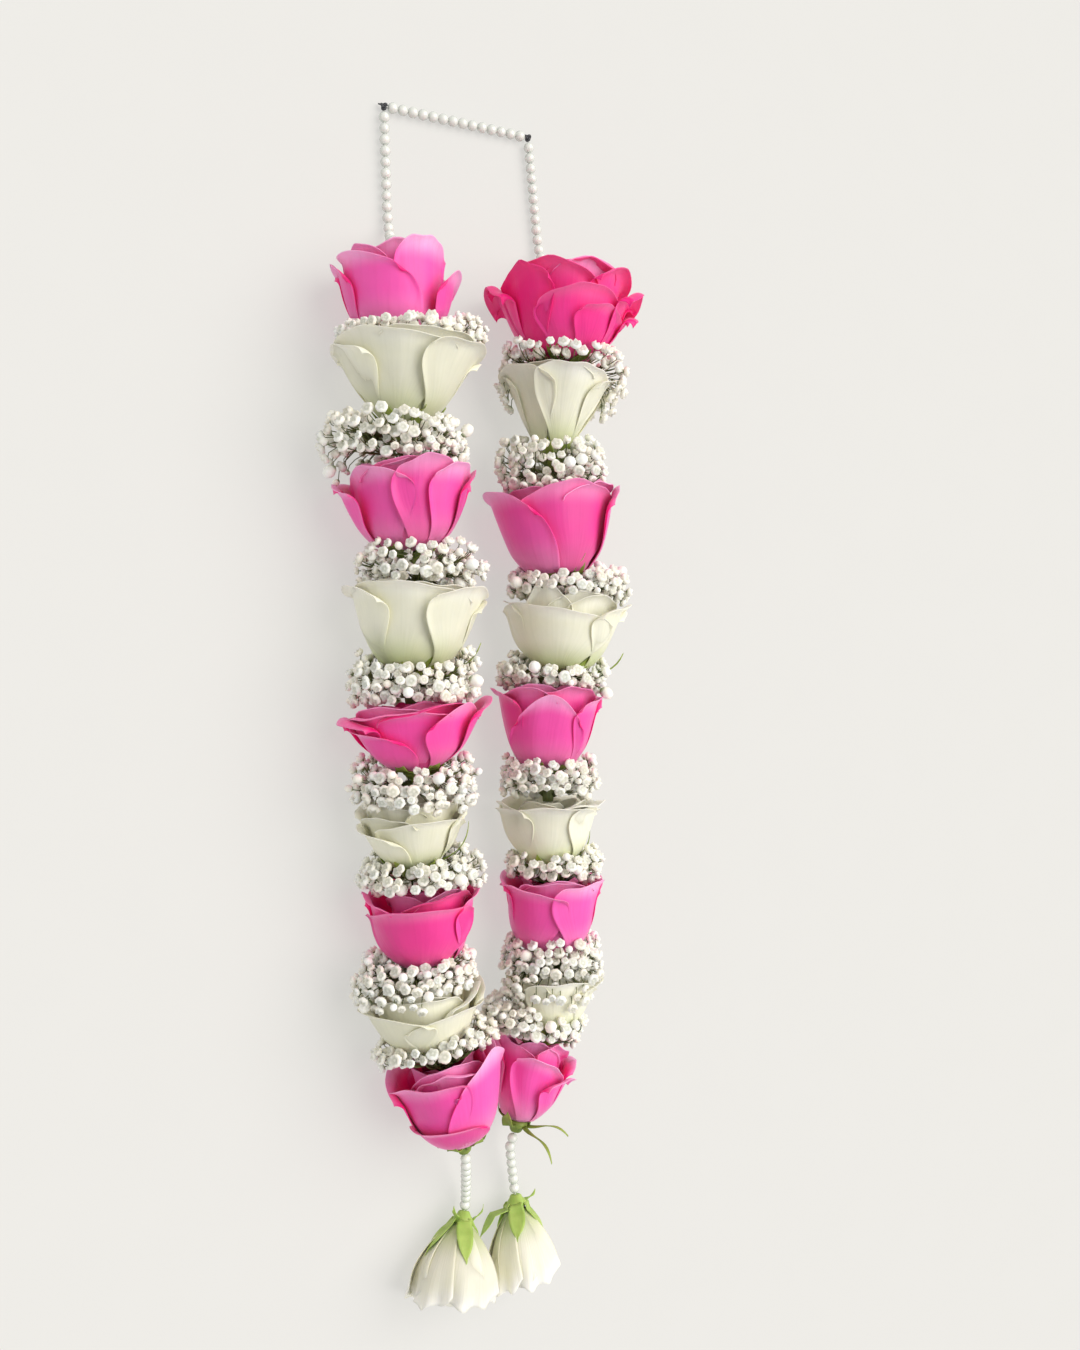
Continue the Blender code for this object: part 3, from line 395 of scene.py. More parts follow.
# foot of the calyx, axis in x and y, height of the head, height of the bud, rim radius, colour
# and how it widens from base to rim, as a power of the height
roseRows = {
    "left_rose_1": ((-41.6, 170.0, 29.6), (-0.0384, 0.9993), 52.1, 48.6, 28.0, "pink", 0.3),
    "left_rose_2": ((-42.2, 128.6, 36.6), (0.0415, 0.9991), 48.2, 35.4, 35.0, "white", 0.7),
    "left_rose_3": ((-37.3, 71.8, 31.4), (-0.041, 0.9992), 48.7, 45.2, 30.5, "pink", 0.36),
    "left_rose_4": ((-36.7, 14.9, 31.0), (0.0817, 0.9967), 48.8, 45.3, 30.5, "white", 0.4),
    "left_rose_5": ((-33.3, -31.4, 33.1), (-0.0983, 0.9952), 40.5, 37.0, 33.0, "pink", 0.48),
    "left_rose_6": ((-33.2, -78.7, 28.6), (-0.0488, 0.9988), 40.9, 37.4, 26.0, "white", 0.5),
    "left_rose_7": ((-25.1, -125.0, 26.1), (-0.1107, 0.9939), 44.9, 40.9, 25.0, "pink", 0.27),
    "left_rose_8": ((-24.4, -166.4, 29.0), (-0.1414, 0.9899), 42.0, 35.1, 28.5, "white", 0.42),
    "left_rose_9": ((-8.0, -211.4, 30.4), (-0.2324, 0.9726), 54.4, 41.6, 27.5, "pink", 0.35),
    "right_rose_1": ((41.7, 168.8, 37.2), (0.0378, 0.9993), 52.9, 49.4, 34.0, "pink", 0.42),
    "right_rose_2": ((38.9, 122.7, 30.2), (0.0793, 0.9969), 50.3, 40.2, 27.5, "white", 0.92),
    "right_rose_3": ((43.5, 62.3, 30.7), (-0.0736, 0.9973), 54.2, 50.7, 29.5, "pink", 0.34),
    "right_rose_4": ((45.0, 15.0, 30.7), (0.0421, 0.9991), 47.5, 41.2, 29.0, "white", 0.37),
    "right_rose_5": ((38.6, -33.5, 25.4), (0.0404, 0.9992), 49.5, 42.7, 25.5, "pink", 0.32),
    "right_rose_6": ((40.0, -82.9, 25.0), (0.0, 1.0), 41.5, 38.0, 23.5, "white", 0.4),
    "right_rose_7": ((41.0, -126.3, 24.0), (0.0437, 0.999), 45.7, 37.3, 23.5, "pink", 0.26),
    "right_rose_8": ((39.6, -167.0, 24.0), (0.102, 0.9948), 39.0, 34.6, 21.5, "white", 0.42),
    "right_rose_9": ((24.5, -210.3, 19.3), (0.2361, 0.9717), 49.4, 39.6, 18.5, "pink", 0.4),
}

# outer petals: turn of the middle, half width in degrees, height and rim radius as shares of the
# head's, how many layers out, roll of the rim in degrees, and last, where it isn't all as in
# petalDefaults, what differs
petalRows = {
    "left_rose_1": [
        (-74, 66, 0.93, 0.72, 0.0, 30, {"round": 0.8}), (24, 54, 1.0, 0.78, 0.6, 16, {"right": 50}),
        (-98, 122, 0.9, 0.86, 2.4, 26, {"round": 1.0, "foot": 0.92, "slope": -0.06}),
        (-116, 56, 0.82, 1.02, 1.2, 40, {"tip": 1.0, "round": 0.9}),
        (60, 48, 0.72, 1.04, 1.9, 36, {"tip": 0.9, "round": 1.0}), (145, 66, 0.9, 0.9, 1.2, 50),
        (-165, 62, 0.86, 0.95, 1.6, 50)],
    "left_rose_2": [
        (-104, 62, 0.9, 1.0, 0.4, 60, {"tip": 0.4}),
        (-42, 78, 0.95, 0.96, 0.9, 30, {"round": 0.45}),
        (52, 66, 0.96, 1.0, 1.9, 36, {"left": 60, "round": 0.55}), (112, 62, 0.93, 1.0, 0.9, 50),
        (10, 60, 1.0, 0.9, 0.0, 40, {"round": 0.3}), (-172, 62, 0.93, 1.0, 1.2, 50)],
    "left_rose_3": [
        (-64, 62, 0.9, 0.88, 0.5, 24, {"right": 60}), (4, 46, 0.98, 0.9, 1.2, 20, {"left": 50}),
        (34, 40, 0.93, 0.94, 1.9, 26, {"left": 60}), (74, 44, 0.88, 1.02, 1.4, 40, {"tip": 0.7}),
        (-112, 48, 0.76, 1.12, 1.3, 35, {"tip": 1.2}), (138, 66, 0.95, 1.0, 0.8, 60),
        (-20, 70, 1.0, 0.82, 0.0, 60, {"slope": 0.05}), (-165, 64, 0.92, 1.0, 1.5, 60)],
    "left_rose_4": [
        (-100, 62, 0.95, 1.04, 0.4, 70, {"tip": 0.4}),
        (-38, 84, 0.96, 0.96, 0.9, 40, {"round": 0.4}),
        (48, 66, 0.98, 1.0, 1.9, 34, {"left": 50, "round": 0.5}), (100, 60, 0.95, 1.0, 0.9, 50),
        (14, 60, 1.0, 0.88, 0.0, 50, {"round": 0.3}), (172, 66, 0.95, 1.0, 1.1, 45)],
    "left_rose_5": [
        (-104, 56, 0.95, 0.96, 0.0, 100, {"tip": 0.3}),
        (-40, 66, 0.96, 0.9, 0.2, 70, {"round": 0.4}),
        (30, 50, 0.9, 0.97, 1.6, 14, {"round": 0.95, "left": 24}),
        (74, 46, 0.95, 1.02, 2.2, 36, {"left": 50}),
        (-100, 92, 0.72, 0.98, 1.2, 26, {"round": 1.0, "foot": 0.9, "right": 50}),
        (6, 70, 1.0, 0.84, 0.0, 80, {"round": 0.4}), (135, 64, 0.95, 1.0, 0.7, 70),
        (-165, 60, 0.92, 1.0, 1.0, 70)],
    "left_rose_6": [
        (-112, 96, 0.7, 1.08, 1.7, 30, {"round": 0.9, "foot": 0.9}),
        (0, 80, 0.8, 1.0, 1.0, 34, {"round": 0.5}), (-62, 60, 0.86, 0.92, 0.4, 40),
        (70, 50, 0.88, 1.02, 0.7, 40), (20, 60, 1.0, 0.8, 0.0, 50), (125, 60, 0.95, 1.0, 0.5, 45),
        (-160, 62, 0.97, 1.0, 0.5, 50)],
    "left_rose_7": [
        (-34, 92, 0.86, 1.0, 1.5, 30, {"round": 0.5, "right": 60}), (66, 56, 0.9, 1.02, 0.7, 40),
        (-100, 62, 0.98, 1.0, 0.4, 45, {"tip": 0.5}), (10, 66, 0.98, 0.84, 0.0, 60, {"round": 0.4}),
        (130, 64, 0.98, 1.0, 0.0, 30), (-170, 64, 1.0, 1.0, 0.9, 30)],
    "left_rose_8": [
        (-84, 88, 0.84, 1.04, 1.5, 44, {"round": 0.8}),
        (20, 80, 0.74, 1.02, 0.9, 30, {"round": 0.75}),
        (-30, 70, 0.95, 0.84, 0.0, 40, {"round": 0.5}),
        (50, 60, 0.9, 0.9, 0.4, 60, {"slope": 0.08}), (100, 62, 0.9, 1.0, 0.4, 45),
        (170, 66, 0.95, 1.0, 0.9, 45), (-140, 60, 0.95, 1.0, 0.2, 45)],
    "left_rose_9": [
        (-70, 82, 0.84, 0.98, 0.3, 50, {"slope": 0.22, "round": 0.5}),
        (34, 70, 0.98, 0.96, 1.2, 16, {"round": 1.0, "foot": 1.05, "peak": 0.25, "left": 34}),
        (-56, 96, 0.42, 1.02, 1.8, 24, {"round": 0.9, "foot": 0.9, "slope": 0.1}),
        (-20, 60, 0.94, 0.8, 0.0, 60), (96, 56, 0.88, 0.92, 0.5, 30), (160, 62, 0.84, 1.0, 0.9, 45),
        (-135, 60, 0.84, 1.0, 1.2, 50)],
    "right_rose_1": [
        (-40, 66, 0.95, 0.82, 0.3, 50, {"slope": -0.12, "right": 70}),
        (40, 50, 0.98, 0.86, 0.4, 80),
        (-78, 38, 0.88, 0.96, 1.9, 40, {"foot": 0.6, "twist": 12, "right": 60, "tip": 0.4}),
        (-112, 36, 0.84, 1.06, 1.2, 110, {"tip": 0.6}), (-140, 40, 0.96, 1.02, 0.7, 120),
        (-14, 54, 0.7, 0.95, 1.6, 34, {"slope": 0.16, "foot": 0.6, "left": 50}),
        (22, 44, 0.56, 0.98, 2.4, 30, {"slope": -0.08, "foot": 0.6}),
        (-4, 56, 1.0, 0.72, 0.0, 70, {"round": 0.5}), (58, 36, 0.84, 1.04, 1.3, 110, {"tip": 0.5}),
        (84, 40, 0.68, 1.08, 2.0, 90, {"tip": 0.5}), (104, 40, 0.9, 1.04, 0.9, 110, {"tip": 0.4}),
        (140, 50, 0.9, 1.0, 0.9, 110), (178, 60, 0.9, 1.0, 1.4, 110)],
    "right_rose_2": [
        (-80, 58, 0.95, 1.0, 0.4, 40, {"right": 40, "round": 0.45}),
        (-2, 58, 0.98, 0.98, 1.1, 30, {"tip": 0.2, "round": 0.45}), (64, 54, 0.96, 1.02, 0.4, 44),
        (-30, 60, 1.0, 0.84, 0.0, 50, {"round": 0.4}), (122, 56, 0.96, 1.0, 0.8, 45),
        (176, 56, 0.96, 1.0, 0.3, 45), (-132, 52, 0.96, 1.0, 0.9, 45)],
    "right_rose_3": [
        (0, 70, 0.95, 0.94, 0.9, 34, {"right": 50, "round": 0.5}),
        (-104, 84, 0.93, 1.02, 1.9, 30, {"round": 0.95, "foot": 0.95, "right": 70}),
        (70, 46, 0.92, 1.02, 1.6, 50, {"left": 60, "tip": 0.6}), (-60, 60, 0.94, 0.84, 0.0, 40),
        (30, 60, 1.0, 0.84, 0.0, 80, {"round": 0.4, "slope": 0.06}), (122, 60, 0.95, 1.0, 0.6, 60),
        (178, 62, 0.94, 1.0, 1.2, 60)],
    "right_rose_4": [
        (-50, 44, 1.06, 0.84, 0.0, 30, {"tip": 0.6, "peak": 0.3}),
        (-44, 88, 0.8, 1.0, 1.6, 22, {"slope": -0.14, "round": 0.5}),
        (50, 54, 0.88, 1.04, 0.8, 56, {"tip": 0.4}), (20, 60, 0.96, 0.8, 0.0, 50),
        (105, 60, 0.9, 1.0, 0.4, 55), (168, 62, 0.94, 1.0, 0.9, 50),
        (-130, 58, 0.92, 1.0, 0.5, 50)],
    "right_rose_5": [
        (-106, 54, 0.94, 1.0, 0.4, 44), (-58, 58, 0.98, 0.86, 0.0, 60),
        (-34, 64, 0.88, 0.98, 1.5, 14, {"round": 1.0, "foot": 1.0, "peak": 0.35, "twist": 10}),
        (44, 46, 0.88, 1.0, 1.0, 30, {"left": 55}), (6, 56, 1.0, 0.84, 0.2, 60, {"round": 0.5}),
        (98, 58, 0.92, 1.0, 0.4, 40), (165, 64, 0.95, 1.0, 0.9, 40)],
    "right_rose_6": [
        (-26, 96, 0.95, 0.99, 1.1, 46, {"round": 0.3}),
        (60, 66, 0.97, 1.0, 1.8, 40, {"left": 26, "round": 0.4}),
        (20, 80, 1.0, 0.94, 0.0, 70, {"round": 0.3}), (-100, 62, 0.98, 1.0, 0.2, 40),
        (120, 66, 0.97, 1.0, 0.6, 35), (180, 66, 1.0, 1.0, 0.9, 35)],
    "right_rose_7": [
        (-72, 74, 0.93, 1.0, 0.8, 55, {"slope": -0.05, "round": 0.45, "right": 26}),
        (38, 70, 0.97, 0.99, 1.6, 26, {"left": 30, "round": 0.45}),
        (-20, 66, 1.0, 0.88, 0.0, 60, {"round": 0.4}), (102, 62, 0.98, 1.0, 0.5, 35),
        (170, 64, 1.0, 1.0, 1.0, 35), (-135, 60, 1.0, 1.0, 0.2, 35)],
    "right_rose_8": [
        (-80, 66, 0.95, 1.0, 0.4, 50), (-6, 66, 0.94, 1.0, 1.0, 40, {"round": 0.45}),
        (66, 62, 0.95, 1.0, 0.4, 45), (138, 64, 0.95, 1.0, 0.9, 45),
        (-152, 62, 0.95, 1.0, 0.2, 45)],
    "right_rose_9": [
        (-70, 66, 0.95, 0.96, 0.5, 30), (-6, 60, 0.84, 1.0, 1.2, 50, {"slope": -0.2, "left": 60}),
        (44, 56, 0.7, 1.14, 2.0, 60, {"tip": 0.5}), (20, 60, 1.0, 0.86, 0.0, 60),
        (84, 50, 0.86, 1.08, 1.2, 60, {"tip": 0.3}), (130, 60, 0.9, 1.0, 0.6, 40),
        (-170, 66, 0.88, 1.0, 1.0, 30), (-118, 50, 0.9, 0.98, 0.2, 30)],
}
# how far the outer petals of a rose take the deeper inner colour
roseTone = {"right_rose_1": 0.75, "left_rose_5": 0.3, "left_rose_7": 0.3, "right_rose_5": 0.15}
# slope of the rim across, roundness of the outline, width of the foot as a share, pointed tip,
# fall of the rim to the sides, twist on the way up, and roll of the left and right edges
petalDefaults = {"slope": 0.0, "round": 0.62, "foot": 0.5, "tip": 0.15, "peak": 0.0, "twist": 0.0,
                 "left": 40.0, "right": 40.0}
roseSetup = {"base": 6.0, "baseRadius": 4.4, "thick": 0.55, "layer": 1.15, "rows": 24, "cols": 26,
             "innerRows": 12, "innerCols": 16, "inner": 9, "innerRim": 0.84}
# where the inner petals open less
innerRims = {"left_rose_1": 0.62}


# turns a grid's border strip outwards about a circle: a point at a distance inside the strip
# moves off along the normal by (1 - cos) and back from the border by the arc less its sine
def curled(grid, axis, fromEnd, zone, angle):
    steps = np.linalg.norm(np.diff(grid, axis=axis), axis=-1)
    zero = np.zeros_like(np.take(steps, [0], axis=axis))
    far = np.concatenate([zero, np.cumsum(steps, axis=axis)], axis=axis)
    toward = np.gradient(grid, axis=axis)
    if fromEnd:
        far = np.take(far, [-1], axis=axis) - far
    else:
        toward = -toward
    arc = np.maximum(0, zone - far)
    bend = np.radians(angle) / zone + 1e-6
    return (grid + gridNormals(grid) * ((1 - np.cos(bend * arc)) / bend)[..., None]
            - unit(toward) * (arc - np.sin(bend * arc) / bend)[..., None])


# one petal as a grid. Its outline is a square eased towards a circle, narrowed at the foot; it
# lies on the cup of its head, whose radius grows by a power of the height, some layers out, with
# slow waves and a crease along its middle; then its two sides and its rim are rolled outwards
def petalGrid(head, spec, rows, cols):
    s = np.linspace(-1, 1, cols)[None, :]
    u = 0.45 * s + 0.55 * np.sin(s * math.pi / 2)
    t = np.linspace(0, 1, rows)[:, None]
    v = 1 - (1 - t) ** 1.45
    x = u * np.sqrt(1 - spec["round"] * v * v / 2)
    y = v * np.sqrt(1 - spec["round"] * u * u / 2)
    phase = spec["phase"]
    low = spec["base"]
    rise = y * (1 + spec["slope"] * x * y - spec["peak"] * np.abs(x) ** 1.3 * y)
    rise = rise + 0.09 * spec["tip"] * np.exp(-(x / 0.24) ** 2) * v ** 8
    rise = rise + v ** 6 * (0.012 * np.sin(6.3 * x + 3 * phase) + 0.008 * np.sin(13 * x + 5 * phase))
    along = low + (spec["top"] - low) * rise
    share = np.clip((along - low) / (spec["height"] - low), 0.0, 1.25)
    cup = spec["baseRadius"] + (spec["radius"] - spec["baseRadius"]) * share ** spec["power"]
    reach = 1 + (spec["rim"] - 1) * (0.35 + 0.65 * ease(share, 0.0, 0.8)) * ease(share, 0.0, 0.15)
    out = cup * reach + spec["out"] * ease(share, 0.0, 0.3)
    out = out + 0.8 * (spec["spiral"] * -x + 0.4 * np.sin(3.1 * x + phase) * y * y)
    out = out + spec["wave"] * y ** 3 * np.sin(2.3 * x + 1.3 * phase)
    out = out + 0.5 * y * np.sin(5.2 * x + 2 * phase)
    out = out + 0.22 * ease(y, 0.1, 0.7) * np.sin(9.5 * x + 3.5 * y + 3 * phase)
    out = out - spec["crease"] * np.exp(-(x / 0.13) ** 2) * ease(y, 0.1, 0.5) * (1 - 0.6 * y)
    narrow = spec["foot"] + (1 - spec["foot"]) * ease(y, 0.0, 0.7)
    turn = spec["turn"] + spec["half"] * x * narrow + spec["twist"] * y
    along = along + 0.5 * spec["wave"] * y ** 3 * np.sin(4.1 * x + phase)
    grid = head.at(turn, np.maximum(out, 0.8), along)
    fade = ease(y, 0.1, 0.6)
    grid = curled(grid, 1, False, spec["sideZone"], spec["left"] * fade)
    grid = curled(grid, 1, True, spec["sideZone"], spec["right"] * fade)
    knob = 1 + 0.16 * np.sin(3.6 * x + 2.1 * phase)
    grid = curled(grid, 0, True, spec["zone"], spec["roll"] * knob)
    return grid, y, x


# what petalGrid needs for each petal of a rose: the outer ones from the table, then the inner
# ones by the golden angle, each further in, lower and steeper than the last
def roseSpecs(name, head):
    source = np.random.default_rng(sum(ord(c) * (k + 3) for k, c in enumerate(name)))
    shared = {"height": head.height, "radius": head.radius, "power": head.power,
              "base": roseSetup["base"], "baseRadius": roseSetup["baseRadius"]}
    specs = []
    for turn, half, high, rim, layer, roll, *other in petalRows[name]:
        chance = source.uniform(-1, 1)
        specs.append({**shared, **petalDefaults, "turn": turn, "half": half,
                      "top": head.height * high, "rim": rim, "out": layer * roseSetup["layer"], "roll": roll + 22,
                      "zone": 4.4 + roll / 24, "sideZone": 4.2, "wave": 1.1, "spiral": 0.35,
                      "phase": source.uniform(0, 6), "chance": chance, "outer": True,
                      "whorl": roseTone.get(name, 0.0) + 0.4 * max(0.0, -chance),
                      "crease": source.uniform(0.2, 0.8), **(other[0] if other else {})})
    count = roseSetup["inner"]
    start = petalRows[name][0][0] + 50
    for k in range(count):
        share = (k + 0.5) / count
        rim = innerRims.get(name, roseSetup["innerRim"]) * (1 - 0.86 * share)
        top = min(head.height * (0.99 - 0.08 * share),
                  head.bud + max(0.0, rim * head.radius - 5.0) * 0.9)
        specs.append({**shared, **petalDefaults, "turn": start + goldenTurn * k,
                      "half": 70 + 40 * share, "top": top, "rim": rim, "out": -0.8,
                      "roll": 80 - 80 * share, "zone": 4.4, "sideZone": 2.5, "left": 20.0,
                      "right": 5.0, "wave": 0.7, "spiral": 0.9, "phase": source.uniform(0, 6),
                      "slope": source.uniform(-0.04, 0.04), "twist": 6.0, "round": 0.7,
                      "baseRadius": roseSetup["baseRadius"] * (0.8 - 0.5 * share),
                      "whorl": share, "chance": source.uniform(-1, 1), "outer": False,
                      "crease": 0.0})
    return specs


# a bloom in one mesh from its plates and their marks, kept for the search tree too
def bloomPiece(name, plates, marks, colour):
    points, faces, maps = joinedPlates(plates)
    bloom = meshPiece(name + "_bloom", points, faces, [petals[colour]], uv=maps,
                      marks={"petalMark": np.concatenate(marks)})
    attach(bloom, "root")
    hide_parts(name + "_petals")
    petalPoints.append(points)
    petalFaces.append(faces[0])


# a rose. A petal is thickest at its foot and thins to its rim by the height and to its sides by
# the cube of the place across
def buildRose(name, head, colour):
    plates, marks = [], []
    for spec in roseSpecs(name, head):
        rows, cols = ((roseSetup["rows"], roseSetup["cols"]) if spec["outer"]
                      else (roseSetup["innerRows"], roseSetup["innerCols"]))
        grid, v, w = petalGrid(head, spec, rows, cols)
        thick = roseSetup["thick"] * (1.25 - 0.75 * v) * (1 - 0.35 * np.abs(w) ** 3)
        plates.append(plate(grid, thick, w, v))
        marks.append(petalMarks(rows * cols, spec["whorl"], spec["chance"]))
    bloomPiece(name, plates, marks, colour)


heads = {}
petalPoints, petalFaces = [], []
for name, (foot, axis, height, bud, radius, colour, power) in roseRows.items():
    head = Head(foot, (*axis, 0.0))
    head.height, head.bud, head.radius, head.power = height, bud, radius, power
    heads[name] = head
    buildRose(name, head, colour)
print("roses:", len(heads), "heads,", sum(len(f) for f in petalFaces), "quads")

# turn, length and splay from the axis of the sepals that stand clear of their rose
longSepals = {"left_rose_4": [(74, 34, 56), (96, 25, 68)], "left_rose_6": [(66, 32, 44)],
              "right_rose_4": [(72, 30, 64)], "right_rose_6": [(62, 26, 40), (-112, 18, 52)],
              "right_rose_9": [(20, 24, 118), (60, 22, 92)]}
calyxSetup = {"cup": 4.9, "hugging": 0.7, "thick": 0.45, "rows": 12, "cols": 7, "widest": 3.1}
petalTree = searchTree(petalPoints, petalFaces)


# how far out the petals stand at a turn and a height, seen from outside; low where none is met
def skinAt(head, turn, along, low, high=70.0):
    far = Vector(head.at(turn, high, along))
    near = Vector(head.at(turn, low, along))
    hit = petalTree.ray_cast(far, (near - far).normalized(), high - low)
    return low if hit[0] is None else high - hit[3]


# faces of rings of points, rows x sides, with one more point at each end: quads between the
# rings and a fan of triangles at both ends
def ringFaces(rows, sides):
    index = np.arange(rows * sides).reshape(rows, sides)
    after = np.roll(index, -1, axis=1)
    quads = np.stack([index[:-1], after[:-1], after[1:], index[1:]], -1).reshape(-1, 4)
    foot = np.full(sides, index.size)
    fans = [np.stack([after[0], index[0], foot], -1),
            np.stack([index[-1], after[-1], foot + 1], -1)]
    return [quads, np.concatenate(fans)]


# a ring surface from (out, along) pairs, with lobes that swell by cos(lobes x turn)
def turned(head, profile, sides, lobes=0, depth=0.0):
    profile = np.array(profile)
    turns = np.arange(sides) * 360.0 / sides
    swell = 1 + depth * np.cos(np.radians(turns * lobes))
    points = head.at(turns, profile[:, :1] * swell, profile[:, 1:])
    ends = [head.at(0.0, 0.0, profile[0, 1]), head.at(0.0, 0.0, profile[-1, 1])]
    points = np.concatenate([points.reshape(-1, 3), ends])
    return points, ringFaces(len(profile), sides)


# a sepal as a plate along a middle line: its half width swells and runs out to a point, and
# its sides rise a little into a shallow channel
def sepalPlate(head, turn, outs, alongs, widest, twist):
    rows, cols = calyxSetup["rows"], calyxSetup["cols"]
    t = np.linspace(0, 1, rows)[:, None]
    w = np.linspace(-1, 1, cols)[None, :]
    width = widest * (0.72 + 1.5 * t - 2.2 * t * t) * (1 - t ** 6) + 0.12
    width = np.maximum(width, 0.12 + 0.5 * (1 - t))
    out = np.asarray(outs)[:, None] + 0.16 * width * w * w * 2
    bow = np.degrees(width * w / np.maximum(out, 2.5))
    along = np.asarray(alongs)[:, None] + 0.4 * np.sin(7 * t + 2 * w)
    grid = head.at(turn + bow + twist * t * t, out, along)
    return plate(grid, calyxSetup["thick"] * (1.2 - 0.8 * t) + 0 * w, w, t)


# a calyx: a lobed cup, long sepals at the chosen turns, lengths and splays, and up to five
# short ones that follow the petals' skin outwards
def calyxPiece(name, head, chosen, material, length, widest, replaced):
    source = np.random.default_rng(len(name) * 7 + sum(ord(c) for c in name))
    cup = calyxSetup["cup"]
    profile = [(1.0, -0.2), (2.2, -0.4), (2.9, 0.2), (3.4, 1.4), (cup * 0.9, 2.6),
               (cup * 1.06, 3.8), (cup * 1.02, 5.2), (cup * 0.8, 5.9)]
    points, faces = turned(head, profile, 20, 5, 0.05)
    plates = [(points, faces, np.tile([[0.5, 0.15]], (len(points), 1)))]
    taken = [row[0] for row in chosen]
    t = np.linspace(0, 1, calyxSetup["rows"])
    for turn, long, splay in chosen:
        lean = math.radians(splay)
        bent = lean + 0.25 * np.sin(math.pi * t) * (1 if splay < 90 else -1)
        outs = cup * 0.95 + long * t * np.sin(bent)
        alongs = 3.6 + long * t * np.cos(bent)
        plates.append(sepalPlate(head, turn, outs, alongs, 1.5, 4.0))
    for k in range(5):
        turn = 22 + 72 * k + source.uniform(-8, 8)
        if any(abs((turn - other + 180) % 360 - 180) < 26 for other in taken):
            continue
        reach = length * source.uniform(0.75, 1.15)
        alongs = 3.4 + reach * t * 0.8
        skin = np.array([skinAt(head, turn, a, cup) for a in alongs])
        skin = np.maximum.accumulate(np.maximum(skin, cup))
        cap = cup + reach * 0.85 * t
        outs = np.minimum(skin + calyxSetup["hugging"], cap + 1.0 + 3.0 * (1 - t))
        outs[0] = cup * 0.9
        alongs = alongs - np.maximum(0, outs - cap) * 0.12
        plates.append(sepalPlate(head, turn, outs, alongs, widest, source.uniform(-6, 6)))
    points, faces, maps = joinedPlates(plates)
    piece = meshPiece(name, points, faces, [material], uv=maps)
    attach(piece, "root")
    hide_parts(replaced)


for name, head in heads.items():
    calyxPiece(name + "_sepals", head, longSepals.get(name, []), greenLeaf, head.radius * 0.5,
               calyxSetup["widest"], name + "_calyx")
print("calyxes:", len(heads))


# string of plastic pearls: acrylic beads under a clear nacre lacquer; towards their outline the
# colour turns a darker grey-green, a painted edge shade
def pearlMaterial():
    material, tree, shader = newMaterial("pearl_lacquer")
    place = addNode(tree, "ShaderNodeTexCoord", {}, {})
    cloud = addNode(tree, "ShaderNodeTexNoise", {},
                    {"Vector": place.outputs["Object"], "Scale": 260.0})
    edgeShadeWeight = addNode(tree, "ShaderNodeLayerWeight", {}, {"Blend": 0.45})
    body = addNode(tree, "ShaderNodeMix", mixColours,
                   {0: cloud.outputs["Fac"], 6: tint("#E4E8E0"), 7: tint("#F3F2EC")})
    # painted edge shade: darker grey-green where the surface turns away from the view
    edge = addNode(tree, "ShaderNodeMix", mixColours,
                   {0: edgeShadeWeight.outputs["Facing"], 6: body.outputs[2], 7: tint("#B9C0BA")})
    feed(shader, {"Base Color": edge.outputs[2], "Roughness": 0.22, "IOR": 1.5, "Coat Weight": 0.6,
                  "Coat Roughness": 0.08, "Subsurface Weight": 0.2,
                  "Subsurface Radius": (1.0, 1.0, 0.9), "Subsurface Scale": 0.001})
    return material


# twisted nylon thread, about 0.5 mm between turns
def threadMaterial(name, dark, light):
    material, tree, shader = newMaterial(name)
    place = addNode(tree, "ShaderNodeTexCoord", {}, {})
    twist = addNode(tree, "ShaderNodeTexWave", {"bands_direction": "DIAGONAL"},
                    {"Vector": place.outputs["Object"], "Scale": 600.0, "Distortion": 1.5})
    colour = addNode(tree, "ShaderNodeMix", mixColours,
                     {0: twist.outputs["Fac"], 6: tint(dark), 7: tint(light)})
    bump = addNode(tree, "ShaderNodeBump", {},
                   {"Strength": 0.5, "Distance": 0.0002, "Height": twist.outputs["Fac"]})
    feed(shader, {"Base Color": colour.outputs[2], "Normal": bump.outputs[0], "Roughness": 0.6})
    return material


pearl = pearlMaterial()
thread = threadMaterial("white_nylon_thread", "#C9CCC4", "#F0F0EA")
nearBlackKnot = threadMaterial("near_black_knot", "#26272A", "#55575A")
stringSetup = {"pitch": 5.4, "bead": 2.68, "thread": 0.45, "sides": 16, "rings": 9,
               "topCount": 14, "inset": 1.9}


# a smooth curve through points, by the four points about each stretch
def smoothPath(points, count):
    points = np.array(points, dtype=float)
    padded = np.concatenate([[2 * points[0] - points[1]], points, [2 * points[-1] - points[-2]]])
    a, b, c, d = padded[:-3], padded[1:-2], padded[2:-1], padded[3:]
    t = (np.arange(count) / count)[None, :, None]
    a, b, c, d = (x[:, None, :] for x in (a, b, c, d))
    run = 0.5 * (2 * b + (c - a) * t + (2 * a - 5 * b + 4 * c - d) * t ** 2
                 + (3 * b - a - 3 * c + d) * t ** 3)
    return np.concatenate([run.reshape(-1, 3), points[-1:]])


# points spread evenly along a path, count + 1 of them
def evenly(path, count):
    steps = np.concatenate([[0], np.cumsum(np.linalg.norm(np.diff(path, axis=0), axis=1))])
    marks = np.linspace(0, steps[-1], count + 1)
    return np.stack([np.interp(marks, steps, path[:, k]) for k in range(3)], -1)


# two directions square to each given one, by the cross product with Z, or with X near Z
def crossways(direction):
    helper = np.where(np.abs(direction[..., 2:]) < 0.9, (0.0, 0.0, 1.0), (1.0, 0.0, 0.0))
    first = unit(np.cross(helper, direction))
    return first, np.cross(direction, first)


